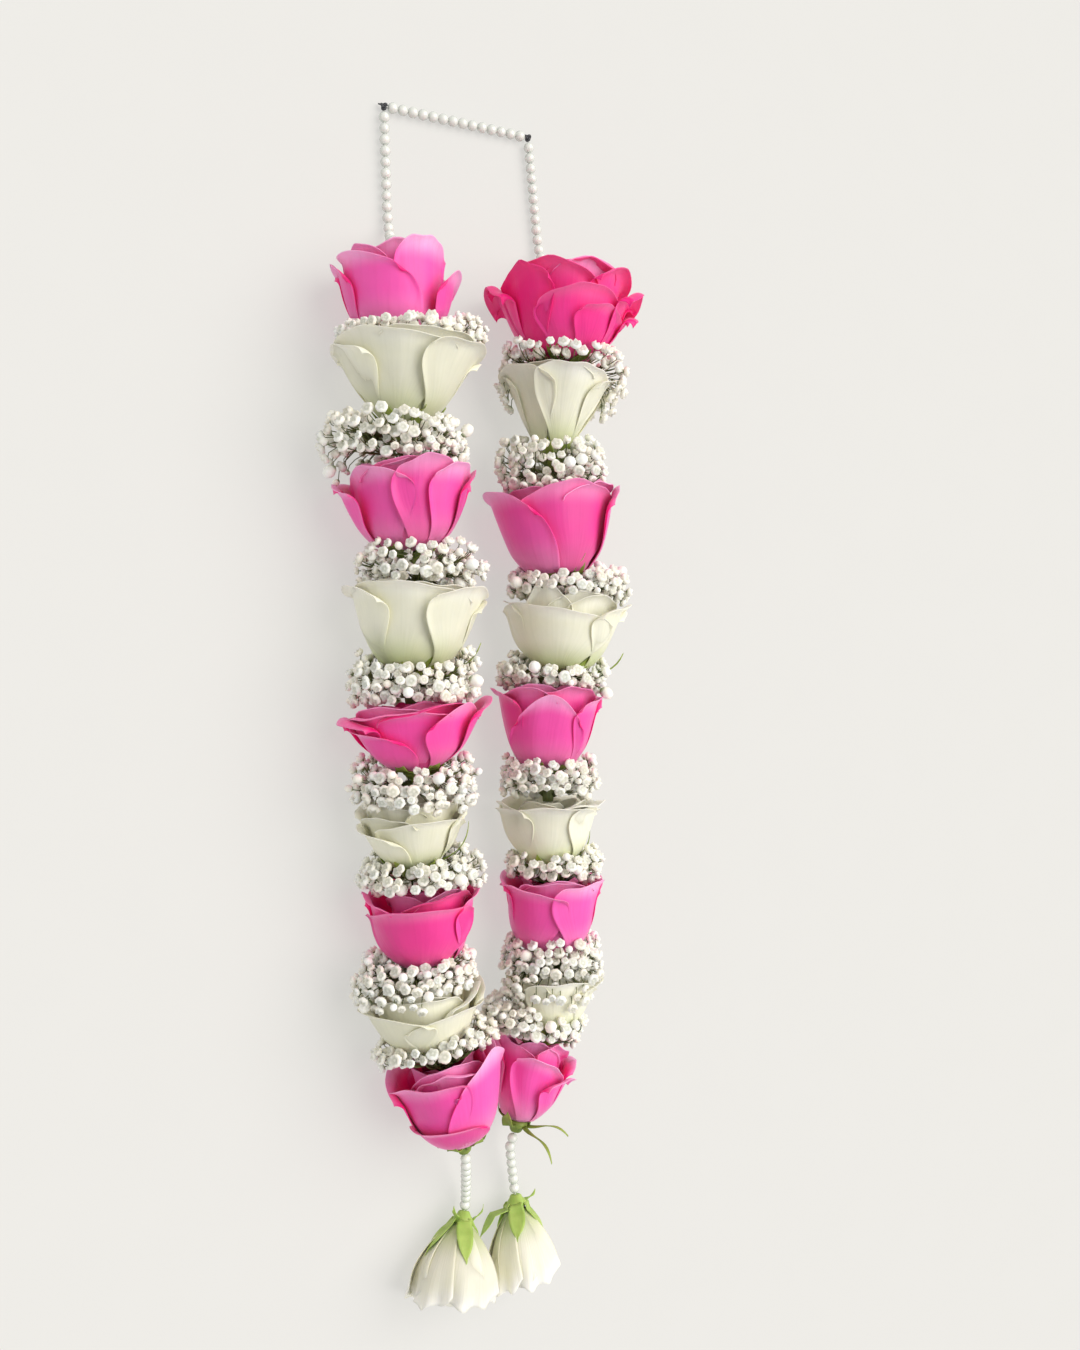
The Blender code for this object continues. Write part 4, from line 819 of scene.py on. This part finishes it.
# closed tubes: paths n x m x 3 and radii n x m, each ring square to its path
def tubes(paths, radii, sides):
    paths = np.asarray(paths, dtype=float)
    n, m = paths.shape[:2]
    first, second = crossways(unit(np.gradient(paths, axis=1)))
    a = np.arange(sides) * 2 * math.pi / sides
    ring = first[:, :, None] * np.cos(a)[:, None] + second[:, :, None] * np.sin(a)[:, None]
    points = paths[:, :, None] + ring * np.asarray(radii)[:, :, None, None]
    index = np.arange(n * m * sides).reshape(n, m, sides)
    after = np.roll(index, -1, axis=2)
    quads = np.stack([index[:, :-1], after[:, :-1], after[:, 1:], index[:, 1:]], -1).reshape(-1, 4)
    return points.reshape(-1, 3), [quads, index[:, 0, ::-1].copy(), index[:, -1].copy()]


# copies a template (its own +Z is the facing) to each centre, turned, spun and sized
def stamped(template, faces, centres, facings, sizes, spins):
    facings = unit(facings)
    first, second = crossways(facings)
    c, s = np.cos(spins)[:, None], np.sin(spins)[:, None]
    x, y = first * c + second * s, second * c - first * s
    turn = np.stack([x, y, facings], -1)
    points = np.einsum("nij,mj->nmi", turn, template) * np.asarray(sizes)[:, None, None]
    points = points + centres[:, None]
    shift = (np.arange(len(centres)) * len(template))[:, None, None]
    return points.reshape(-1, 3), [(f[None] + shift).reshape(-1, f.shape[1]) for f in faces]


# a bead along +Z: a circle turned round, drawn in at both ends to the drilled hole
def beadTemplate():
    t = np.linspace(0.03, 0.97, stringSetup["rings"])
    profile = np.stack([np.sin(math.pi * t) ** 0.92, -np.cos(math.pi * t) * 0.97], -1)
    return turned(Head((0, 0, 0), (0.0001, 0, 1)), profile, stringSetup["sides"])


# beads of nearly one size, one in the middle of each even stretch of a path
def beadsAlong(path, count):
    marks = evenly(path, count)
    centres = (marks[1:] + marks[:-1]) / 2
    source = np.random.default_rng(count)
    points, faces = beadTemplate()
    size = stringSetup["bead"] * source.uniform(0.97, 1.02, count)
    spins = source.uniform(0, 6, count)
    return stamped(points, faces, centres, marks[1:] - marks[:-1], size, spins)


pendantRows = {"left_pendant": ((0.4, -249.7, 10.0), (-0.2802, -0.9206, 0.2722), 44.0, 21.0),
               "right_pendant": ((29.5, -247.4, 8.9), (0.03, -0.9749, 0.2207), 43.0, 17.0)}
pendants = {name: Head(row[0], row[1]) for name, row in pendantRows.items()}
corners = {"left": np.array((-39.6, 299.5, 3.2)), "right": np.array((39.5, 299.5, 3.2))}
landings = {"left": (-37.5, 236.5, 5.4), "right": (46.3, 236.5, 5.4)}


# one piece of bead strings and the thread along a spine, whose ends need no caps
def stringPiece(name, strings, spine, replaced):
    cord, cordFaces = tubes(spine[None], np.full((1, len(spine)), stringSetup["thread"]), 6)
    points, faces, chosen = layered(joined(strings), (cord, cordFaces[:1]))
    piece = meshPiece(name, points, faces, [pearl, thread], chosen=chosen)
    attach(piece, "root")
    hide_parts(replaced)


# a side string: beads leave the top rose's mouth, come down to the floor and run to the
# corner, others hang from the lowest rose, and the thread runs through every head between
def buildString(strand):
    top, low = heads[strand + "_rose_1"], heads[strand + "_rose_9"]
    pendant = pendants[strand + "_pendant"]
    corner = corners[strand]
    mouth = top.at(0, 0, top.bud + 1.2)
    landing = np.array(landings[strand])
    out = unit(corner[:2] - landing[:2])
    marks = [mouth, mouth + top.axis * 5 - (0, 0, 1.5),
             (*(mouth + landing)[:2] / 2, mouth[2] * 0.56), landing]
    marks += [(*(landing[:2] + out * run), 3.1) for run in (13, 30)]
    rise = smoothPath(marks + [corner - (*out * 2.6, 0)], 12)
    foot = low.at(0, 0, -1.4)
    end = pendant.at(0, 0, -1.0)
    fall = smoothPath([end, end - pendant.axis * 5, foot - low.axis * 6 - (0, 0, 2.5), foot], 12)
    strings = []
    for path in (rise, fall):
        long = np.linalg.norm(np.diff(path, axis=0), axis=1).sum()
        strings.append(beadsAlong(path, round(long / stringSetup["pitch"])))
    spine = [pendant.at(0, 0, 4.5)] + list(fall)
    for k in range(9, 0, -1):
        head = heads[f"{strand}_rose_{k}"]
        spine += [head.at(0, 0, 0.0), head.at(0, 0, head.bud)]
    stringPiece(strand + "_pearls", strings, np.array(spine + list(rise)), strand + "_bead_string")


buildString("left")
buildString("right")
across = unit(corners["right"] - corners["left"])
ends = np.array([corners["left"], corners["right"]])
inset = np.array([across, -across]) * stringSetup["inset"]
stringPiece("top_pearls", [beadsAlong(ends + inset, stringSetup["topCount"])], ends,
            "top_bead_string")

# corner knots: a trefoil of thread drawn tight, with two cut ends, coloured near black
knotSetup = {"size": 0.52, "thick": 0.62, "tail": 0.4, "lowest": 0.2}
for strand, corner in corners.items():
    a = np.linspace(0, 2 * math.pi, 60, endpoint=False)
    loop = np.stack([np.sin(a) + 2 * np.sin(2 * a), np.cos(a) - 2 * np.cos(2 * a),
                     -1.2 * np.sin(3 * a)], -1)
    path = corner + loop * knotSetup["size"]
    path = np.concatenate([path, path[:1]])
    knot, knotFaces = tubes(path[None], np.full((1, len(path)), knotSetup["thick"]), 8)
    ends = np.array([[corner, corner + (-1.5, 1.0, -0.9), corner + (-2.1, 1.6, -1.9)],
                     [corner, corner + (1.6, 0.8, -0.9), corner + (2.3, 1.3, -1.9)]])
    tail, tailFaces = tubes(ends, np.full((2, 3), knotSetup["tail"]), 6)
    points, faces = joined([(knot, knotFaces), (tail, tailFaces)])
    points[:, 2] = np.maximum(points[:, 2], knotSetup["lowest"])
    piece = meshPiece(strand + "_knot", points, faces, [nearBlackKnot])
    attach(piece, "root")
    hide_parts(strand + "_corner_knot")
print("pearl strings and knots")


# hanging white flowers: soft petals gathered at the calyx and pleated out to a frilled rim
pendantSetup = {"petals": 5, "rows": 26, "cols": 26, "thick": 0.45, "pleats": 1.6, "base": 5.6,
                "pleatDepth": 0.75, "frill": 1.6, "shortTurn": -110.0, "sepal": 23.0,
                "sepalWide": 4.4, "whorls": ((1.0, 1.0, 0.0), (0.9, 0.94, 36.0),
                                             (0.62, 0.86, 12.0), (0.34, 0.74, 60.0)),
                "upright": {"left_pendant": [(-70, 9, 150), (60, 7, 140)],
                            "right_pendant": [(-95, 8, 120)]}}


# one pleated petal: the radius follows a bell from the calyx to the rim, pleats deepen with the
# height as a wave across the petal, the rim frills in and out and up and down, and all petals
# are a little shorter towards one turn
def pleatedGrid(head, height, radius, turn, half, phase, rows, cols):
    w = np.linspace(-1, 1, cols)[None, :]
    v = np.linspace(0, 1, rows)[:, None]
    base = pendantSetup["base"]
    bell = 0.2 + 0.8 * np.sin(0.5 * math.pi * np.minimum(1, v * 1.15)) ** 0.85
    pleat = np.sin(math.pi * pendantSetup["pleats"] * w + phase)
    pleat = pendantSetup["pleatDepth"] * v ** 1.1 * pleat
    frill = pendantSetup["frill"] * v ** 5 * np.sin(3.1 * math.pi * w + 2 * phase)
    out = radius * bell + pleat * (0.6 + 0.4 * v) + frill * 0.7 - 1.3 * v * w + 0.5 * v ** 7
    away = np.radians(turn + half * w - pendantSetup["shortTurn"])
    top = height * (1 - 0.13 * np.abs(w) ** 2.4 - 0.07 * (1 + np.cos(away)))
    along = base + (top - base) * v + 1.1 * v ** 4 * np.sin(2.7 * math.pi * w + phase)
    widen = 0.8 + 0.2 * v
    return head.at(turn + half * w * widen, np.maximum(out, 1.2), along), v + 0 * w, w + 0 * v


for name, row in pendantRows.items():
    head = pendants[name]
    height, radius = row[2], row[3]
    source = np.random.default_rng(len(name))
    plates, marks = [], []
    for depth, (wide, tall, start) in enumerate(pendantSetup["whorls"]):
        count = pendantSetup["petals"] - depth
        for k in range(count):
            rows, cols = pendantSetup["rows"] - 4 * depth, pendantSetup["cols"] - 4 * depth
            reach = radius * wide * source.uniform(0.95, 1.03)
            grid, v, w = pleatedGrid(head, height * tall, reach, start + 360 * k / count,
                                     226 / count, source.uniform(0, 6), rows, cols)
            plates.append(plate(grid, pendantSetup["thick"] * (1.2 - 0.8 * v), w, v))
            marks.append(petalMarks(rows * cols, depth * 0.25, source.uniform(-1, 1)))
    bloomPiece(name, plates, marks, "white")
petalTree = searchTree(petalPoints, petalFaces)
for name, head in pendants.items():
    calyxPiece(name + "_sepals", head, pendantSetup["upright"][name], limeLeaf,
               pendantSetup["sepal"], pendantSetup["sepalWide"], name + "_calyx")
print("hanging flowers")


# gypsophila floret: paper-thin double petals, white with a green foot and grey-green painted
# shade in the folds and at the centre; each has its own warmth
def floretMaterial():
    material, tree, shader = newMaterial("gypsophila_petal")
    marks = addNode(tree, "ShaderNodeAttribute", {"attribute_name": "floretMark"}, {})
    parts = addNode(tree, "ShaderNodeSeparateXYZ", {}, {0: marks.outputs["Vector"]})
    warm = addNode(tree, "ShaderNodeMix", mixColours,
                   {0: parts.outputs["Y"], 6: tint("#FAFCF7"), 7: tint("#FFF9EC")})
    foot = addNode(tree, "ShaderNodeMapRange", {},
                   {0: parts.outputs["X"], 1: 0.1, 2: 0.5, 3: 1.0, 4: 0.0})
    colour = addNode(tree, "ShaderNodeMix", mixColours,
                     {0: foot.outputs[0], 6: warm.outputs[2], 7: tint("#7C8C5C")})
    # painted shade: the folds and the centre are greyed towards grey-green
    foldShade = addNode(tree, "ShaderNodeMath", {"operation": "MULTIPLY"},
                   {0: parts.outputs["Z"], 1: 0.5})
    colour = addNode(tree, "ShaderNodeMix", mixColours,
                     {0: foldShade.outputs[0], 6: colour.outputs[2], 7: tint("#A0A688")})
    place = addNode(tree, "ShaderNodeTexCoord", {}, {})
    crumple = addNode(tree, "ShaderNodeTexNoise", {},
                      {"Vector": place.outputs["Object"], "Scale": 900.0, "Detail": 2.0})
    bump = addNode(tree, "ShaderNodeBump", {},
                   {"Strength": 0.4, "Distance": 0.0004, "Height": crumple.outputs["Fac"]})
    feed(shader, {"Base Color": colour.outputs[2], "Normal": bump.outputs[0], "Roughness": 0.6,
                  "Subsurface Weight": 0.15, "Subsurface Radius": (1.0, 0.95, 0.7),
                  "Subsurface Scale": 0.0012})
    return material


# gypsophila twigs: thin grey-green stalks, slightly browned
def twigMaterial():
    material, tree, shader = newMaterial("gypsophila_twig")
    place = addNode(tree, "ShaderNodeTexCoord", {}, {})
    cloud = addNode(tree, "ShaderNodeTexNoise", {},
                    {"Vector": place.outputs["Object"], "Scale": 120.0})
    colour = addNode(tree, "ShaderNodeMix", mixColours,
                     {0: cloud.outputs["Fac"], 6: tint("#35461F"), 7: tint("#747A45")})
    feed(shader, {"Base Color": colour.outputs[2], "Roughness": 0.6})
    return material


floretWhite = floretMaterial()
twigGreen = twigMaterial()
spraySetup = {"radius": 3.0, "spacing": 0.78, "columns": 10, "twig": 0.26, "stem": (0.7, 0.45),
              "forks": 18, "forkTries": 400, "tries": 5200, "budShare": 0.1, "largeShare": 0.04,
              "outsideShare": 0.72, "frontTurn": -27.0, "bowlFoot": 4.6}

# each gap below a rose, with heights measured from the lower rose's bud: how far out its florets
# reach, lowest and highest in front, lowest and highest at the sides, how many, one turn where
# they reach further and by how much, and how much they keep to that side
sprayRows = {
    "left_gypsophila_1": (32, 9, 17, 2, 26, 170, 80, 7, 0.5),
    "left_gypsophila_2": (31, 5, 25, -9, 26, 210, -92, 10, 0.1),
    "left_gypsophila_3": (29, 5, 22, -2, 22, 170, 60, 5, 0.1),
    "left_gypsophila_4": (31, 2, 18, -6, 26, 185, 70, 5, 0.0),
    "left_gypsophila_5": (30, -3, 18, -4, 24, 200, 60, 5, 0.2),
    "left_gypsophila_6": (29, 4, 17, -6, 20, 165, 60, 4, 0.2),
    "left_gypsophila_7": (28, -6, 16, -8, 20, 185, -95, 6, 0.0),
    "right_gypsophila_1": (32, 13, 20, -10, 20, 140, 90, 5, 0.3),
    "right_gypsophila_2": (28, -4, 22, -8, 26, 200, -60, 2, 0.0),
    "right_gypsophila_3": (29, 3, 14, -6, 19, 165, 80, 4, 0.0),
    "right_gypsophila_4": (27, 6, 15, -2, 20, 140, 80, 5, 0.1),
    "right_gypsophila_5": (26, 7, 22, 3, 24, 150, -30, 2, 0.0),
    "right_gypsophila_6": (24, 9, 20, 4, 22, 130, 80, 3, 0.0),
    "right_gypsophila_7": (25, -14, 22, -14, 24, 205, -60, 3, 0.0),
    "left_bottom": (28, 15, 22, 6, 22, 130, -100, 5, 0.3),
    "right_bottom": (24, 11, 24, 6, 28, 165, -80, 8, 0.0),
}


# a double floret facing +Z: from the stalk the profile swells to a green cup, flares to the
# outer rim, folds in and stands again as the inner rim; both rims are lobed by a cosine
def floretTemplate(source):
    columns = spraySetup["columns"]
    profile = np.array([(0.12, -0.62, 0.0, 0.0), (0.72, -0.4, 0.03, 0.5), (0.98, 0.02, 0.12, 1.0),
                        (0.72, 0.46, 0.16, 1.0), (0.3, 0.2, 0.0, 0.8)])
    turns = np.arange(columns) * 2 * math.pi / columns
    lobe = np.cos(turns * columns / 2)[None, :] * profile[:, 2:3]
    chance = source.uniform(-0.06, 0.06, (2, len(profile), columns)) * (profile[:, 3:4] > 0.5)
    out = profile[:, :1] + chance[0]
    z = profile[:, 1:2] + lobe + chance[1]
    points = np.stack([out * np.cos(turns), out * np.sin(turns), z], -1).reshape(-1, 3)
    points = np.concatenate([points, [(0, 0, -0.66), (0, 0, 0.46)]])
    level = np.concatenate([np.repeat(profile[:, 3], columns), [0.0, 1.0]])
    # where the painted shade goes: the grooves between the lobes and, fully, the centre ring
    grooveShade = np.array([0.0, 0.1, 0.2, 0.26, 0.0])[:, None] * (np.cos(turns * columns / 2) < 0)
    grooveShade[-1] = 1.0
    foldShade = np.concatenate([grooveShade.ravel(), [0.0, 0.3]])
    return points, ringFaces(len(profile), columns), level, foldShade


# a closed bud: an egg on a green foot
def budTemplate():
    profile = [(0.12, -0.9), (0.5, -0.66), (0.78, -0.1), (0.7, 0.45), (0.36, 0.86)]
    points, faces = turned(Head((0, 0, 0), (0.0001, 0, 1)), profile, 8)
    level = np.clip((points[:, 2] + 0.8) * 1.6, 0, 1)
    return points, faces, level, np.zeros(len(points))


# the frame of the gap between two roses: origin on the lower bud, axis towards the upper foot,
# or along both roses where the gap is short
def gapFrame(strand, k):
    upper, lower = heads[f"{strand}_rose_{k}"], heads[f"{strand}_rose_{k + 1}"]
    start = lower.at(0, 0, lower.bud)
    long = float(np.linalg.norm(upper.foot - start))
    share = min(1.0, long / 40) ** 2
    axis = share * unit(upper.foot - start) + (1 - share) * unit(lower.axis + upper.axis)
    return Head(start, axis), long, upper, lower


# whether no petal is nearer to a point than a distance
def clearBy(point, need):
    return petalTree.find_nearest(Vector(point), need)[0] is None


# whether a point lies inside the bowl of a rose, whose radius grows by a power of the height
def insideBowl(head, point, slack):
    along = float(np.dot(point - head.foot, head.axis))
    out = float(np.linalg.norm(point - head.foot - along * head.axis))
    v = (along - roseSetup["base"]) / (head.height - roseSetup["base"])
    low = spraySetup["bowlFoot"]
    return 0 <= v <= 0.9 and out < low + (head.radius - low) * v ** head.power + slack


placed = np.zeros((0, 4))


# florets drawn round the thread by the golden angle; one is kept where it stands clear of the
# petals and of the others, and where a curved twig from one of the forks reaches it freely
def growSpray(name, strand, k):
    global placed
    reach, frontLow, frontHigh, sideLow, sideHigh, count, extraTurn, extra, keep = sprayRows[name]
    gapHead, long, upper, lower = gapFrame(strand, k)
    source = np.random.default_rng(k * 31 + (7 if strand == "left" else 0))
    rimLevel = lower.height - lower.bud
    forks = []
    for n in range(spraySetup["forkTries"]):
        if len(forks) == spraySetup["forks"]:
            break
        turn = goldenTurn * n
        spot = gapHead.at(turn, source.uniform(9, 15),
                          source.uniform(min(rimLevel, long - 2), long + 3))
        root = gapHead.at(turn + source.uniform(-25, 25), 2.0, source.uniform(1, max(2, long - 1)))
        aim = Vector(spot - root)
        if spot[2] > 1 and clearBy(spot, 0.7) and petalTree.ray_cast(
                Vector(root), aim.normalized(), aim.length)[0] is None:
            forks.append((root, spot))
    florets, twigs = [], []
    roots = np.array([f[1] for f in forks])
    for n in range(spraySetup["tries"]):
        if len(florets) == count or not len(forks):
            break
        turn = goldenTurn * n + source.uniform(-20, 20)
        lean = 0.5 + 0.5 * math.cos(math.radians(turn - extraTurn))
        if source.uniform() > 1 - keep + keep * lean:
            continue
        share = source.uniform()
        front = ease(math.cos(math.radians(turn - spraySetup["frontTurn"])), 0.05, 0.55)
        lowest = sideLow + (frontLow - sideLow) * front
        highest = sideHigh + (frontHigh - sideHigh) * front
        along = lowest + (highest - lowest) * share
        far = reach * (1 - 0.2 * (2 * share - 1) ** 2) + extra * lean ** 4
        outside = source.uniform() < spraySetup["outsideShare"]
        out = far * (source.uniform(0.74, 1.0) if outside else source.uniform(0.4, 0.8))
        large = source.uniform() < spraySetup["largeShare"]
        size = spraySetup["radius"] * (1.3 if large else source.uniform(0.66, 1.12))
        centre = gapHead.at(turn, out, along)
        if centre[2] < size * 0.85 + 0.4 or not clearBy(centre, size * 0.7):
            continue
        if insideBowl(upper, centre, 1.5) or insideBowl(lower, centre, 0.5):
            continue
        if len(placed) and (np.linalg.norm(placed[:, :3] - centre, axis=1)
                            < spraySetup["spacing"] * (placed[:, 3] + size)).any():
            continue
        for fork in np.argsort(np.linalg.norm(roots - centre, axis=1))[:5]:
            begin = roots[fork]
            level = float(np.dot(begin - gapHead.foot, gapHead.axis))
            bend = gapHead.at(turn, max(out * 0.94, 12.0), (level * 2 + along) / 3)
            t = np.linspace(0, 1, 6)[:, None]
            path = (1 - t) ** 2 * begin + 2 * t * (1 - t) * bend + t * t * centre
            if path[:, 2].min() > 0.4 and all(clearBy(p, 0.35) for p in path[1:-1]):
                away = unit(centre - gapHead.at(turn, 0, along))
                facing = unit(unit(path[-1] - path[-2]) + 0.8 * away + source.uniform(-0.5, 0.5, 3))
                path[-1] = centre - facing * size * 0.6
                florets.append((centre, size, facing))
                twigs.append(path)
                placed = np.concatenate([placed, [[*centre, size]]])
                break
    return forks, florets, twigs, gapHead, long


# a collar in one mesh: its florets stamped by kind, its twigs and forks as tubes, and the ring
# of bound stems round the thread as a lobed body of revolution
def buildSpray(name, grown, replaced, seed):
    source = np.random.default_rng(seed)
    parts, marks, green = [], [], []
    florets = [f for spray in grown for f in spray[1]]
    centres, sizes, facings = (np.array(values) for values in zip(*florets))
    kinds = source.integers(0, 4, len(florets))
    kinds[source.uniform(size=len(florets)) < spraySetup["budShare"]] = 4
    kinds[sizes > spraySetup["radius"] * 1.2] = 4
    templates = [floretTemplate(source) for k in range(4)] + [budTemplate()]
    for kind, (shape, faces, level, foldShade) in enumerate(templates):
        pick = np.nonzero(kinds == kind)[0]
        count = len(pick)
        parts.append(stamped(shape, faces, centres[pick], facings[pick], sizes[pick],
                             source.uniform(0, 6, count)))
        warmth = np.repeat(source.uniform(0, 1, count), len(shape))
        marks.append(np.stack([np.tile(level, count), warmth, np.tile(foldShade, count)], -1))
    twigs = np.array([t for spray in grown for t in spray[2]])
    thin = spraySetup["twig"] * np.linspace(1.2, 0.9, twigs.shape[1])
    green.append(tubes(twigs, np.tile(thin, (len(twigs), 1)), 3))
    t = np.linspace(0, 1, 4)[:, None]
    for forks, found, paths, gapHead, long in grown:
        stems = np.array([root + (spot - root) * t for root, spot in forks])
        thin = np.linspace(*spraySetup["stem"], len(t))
        green.append(tubes(stems, np.tile(thin, (len(stems), 1)), 5))
        bound = [(1.0, 0.4), (2.5, 0.5), (2.9, long * 0.3), (2.6, long * 0.5), (2.9, long * 0.7),
                 (2.4, long - 0.5), (1.0, long - 0.3)]
        green.append(turned(gapHead, bound, 24, 8, 0.08))
    points, faces, chosen = layered(joined(parts), joined(green))
    marks.append(np.zeros((sum(len(p) for p, found in green), 3)))
    piece = meshPiece(name, points, faces, [floretWhite, twigGreen],
                      marks={"floretMark": np.concatenate(marks)}, chosen=chosen)
    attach(piece, "root")
    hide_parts(replaced)
    return len(florets)


counted = []
bottomGrown = [growSpray("left_bottom", "left", 8), growSpray("right_bottom", "right", 8)]
for name in sprayRows:
    if "bottom" in name:
        continue
    strand, k = name.split("_")[0], int(name.split("_")[-1])
    counted.append(buildSpray(name + "_florets", [growSpray(name, strand, k)], name, k))
counted.append(buildSpray("bottom_florets", bottomGrown, "bottom_gypsophila", 99))
print("florets:", counted, sum(counted))
total = sum(len(o.data.loops) - 2 * len(o.data.polygons) for o in bpy.data.objects
            if o.type == "MESH" and o.name not in frame["nodes"] and o.name != "floor")
print("triangles in the pieces:", total)
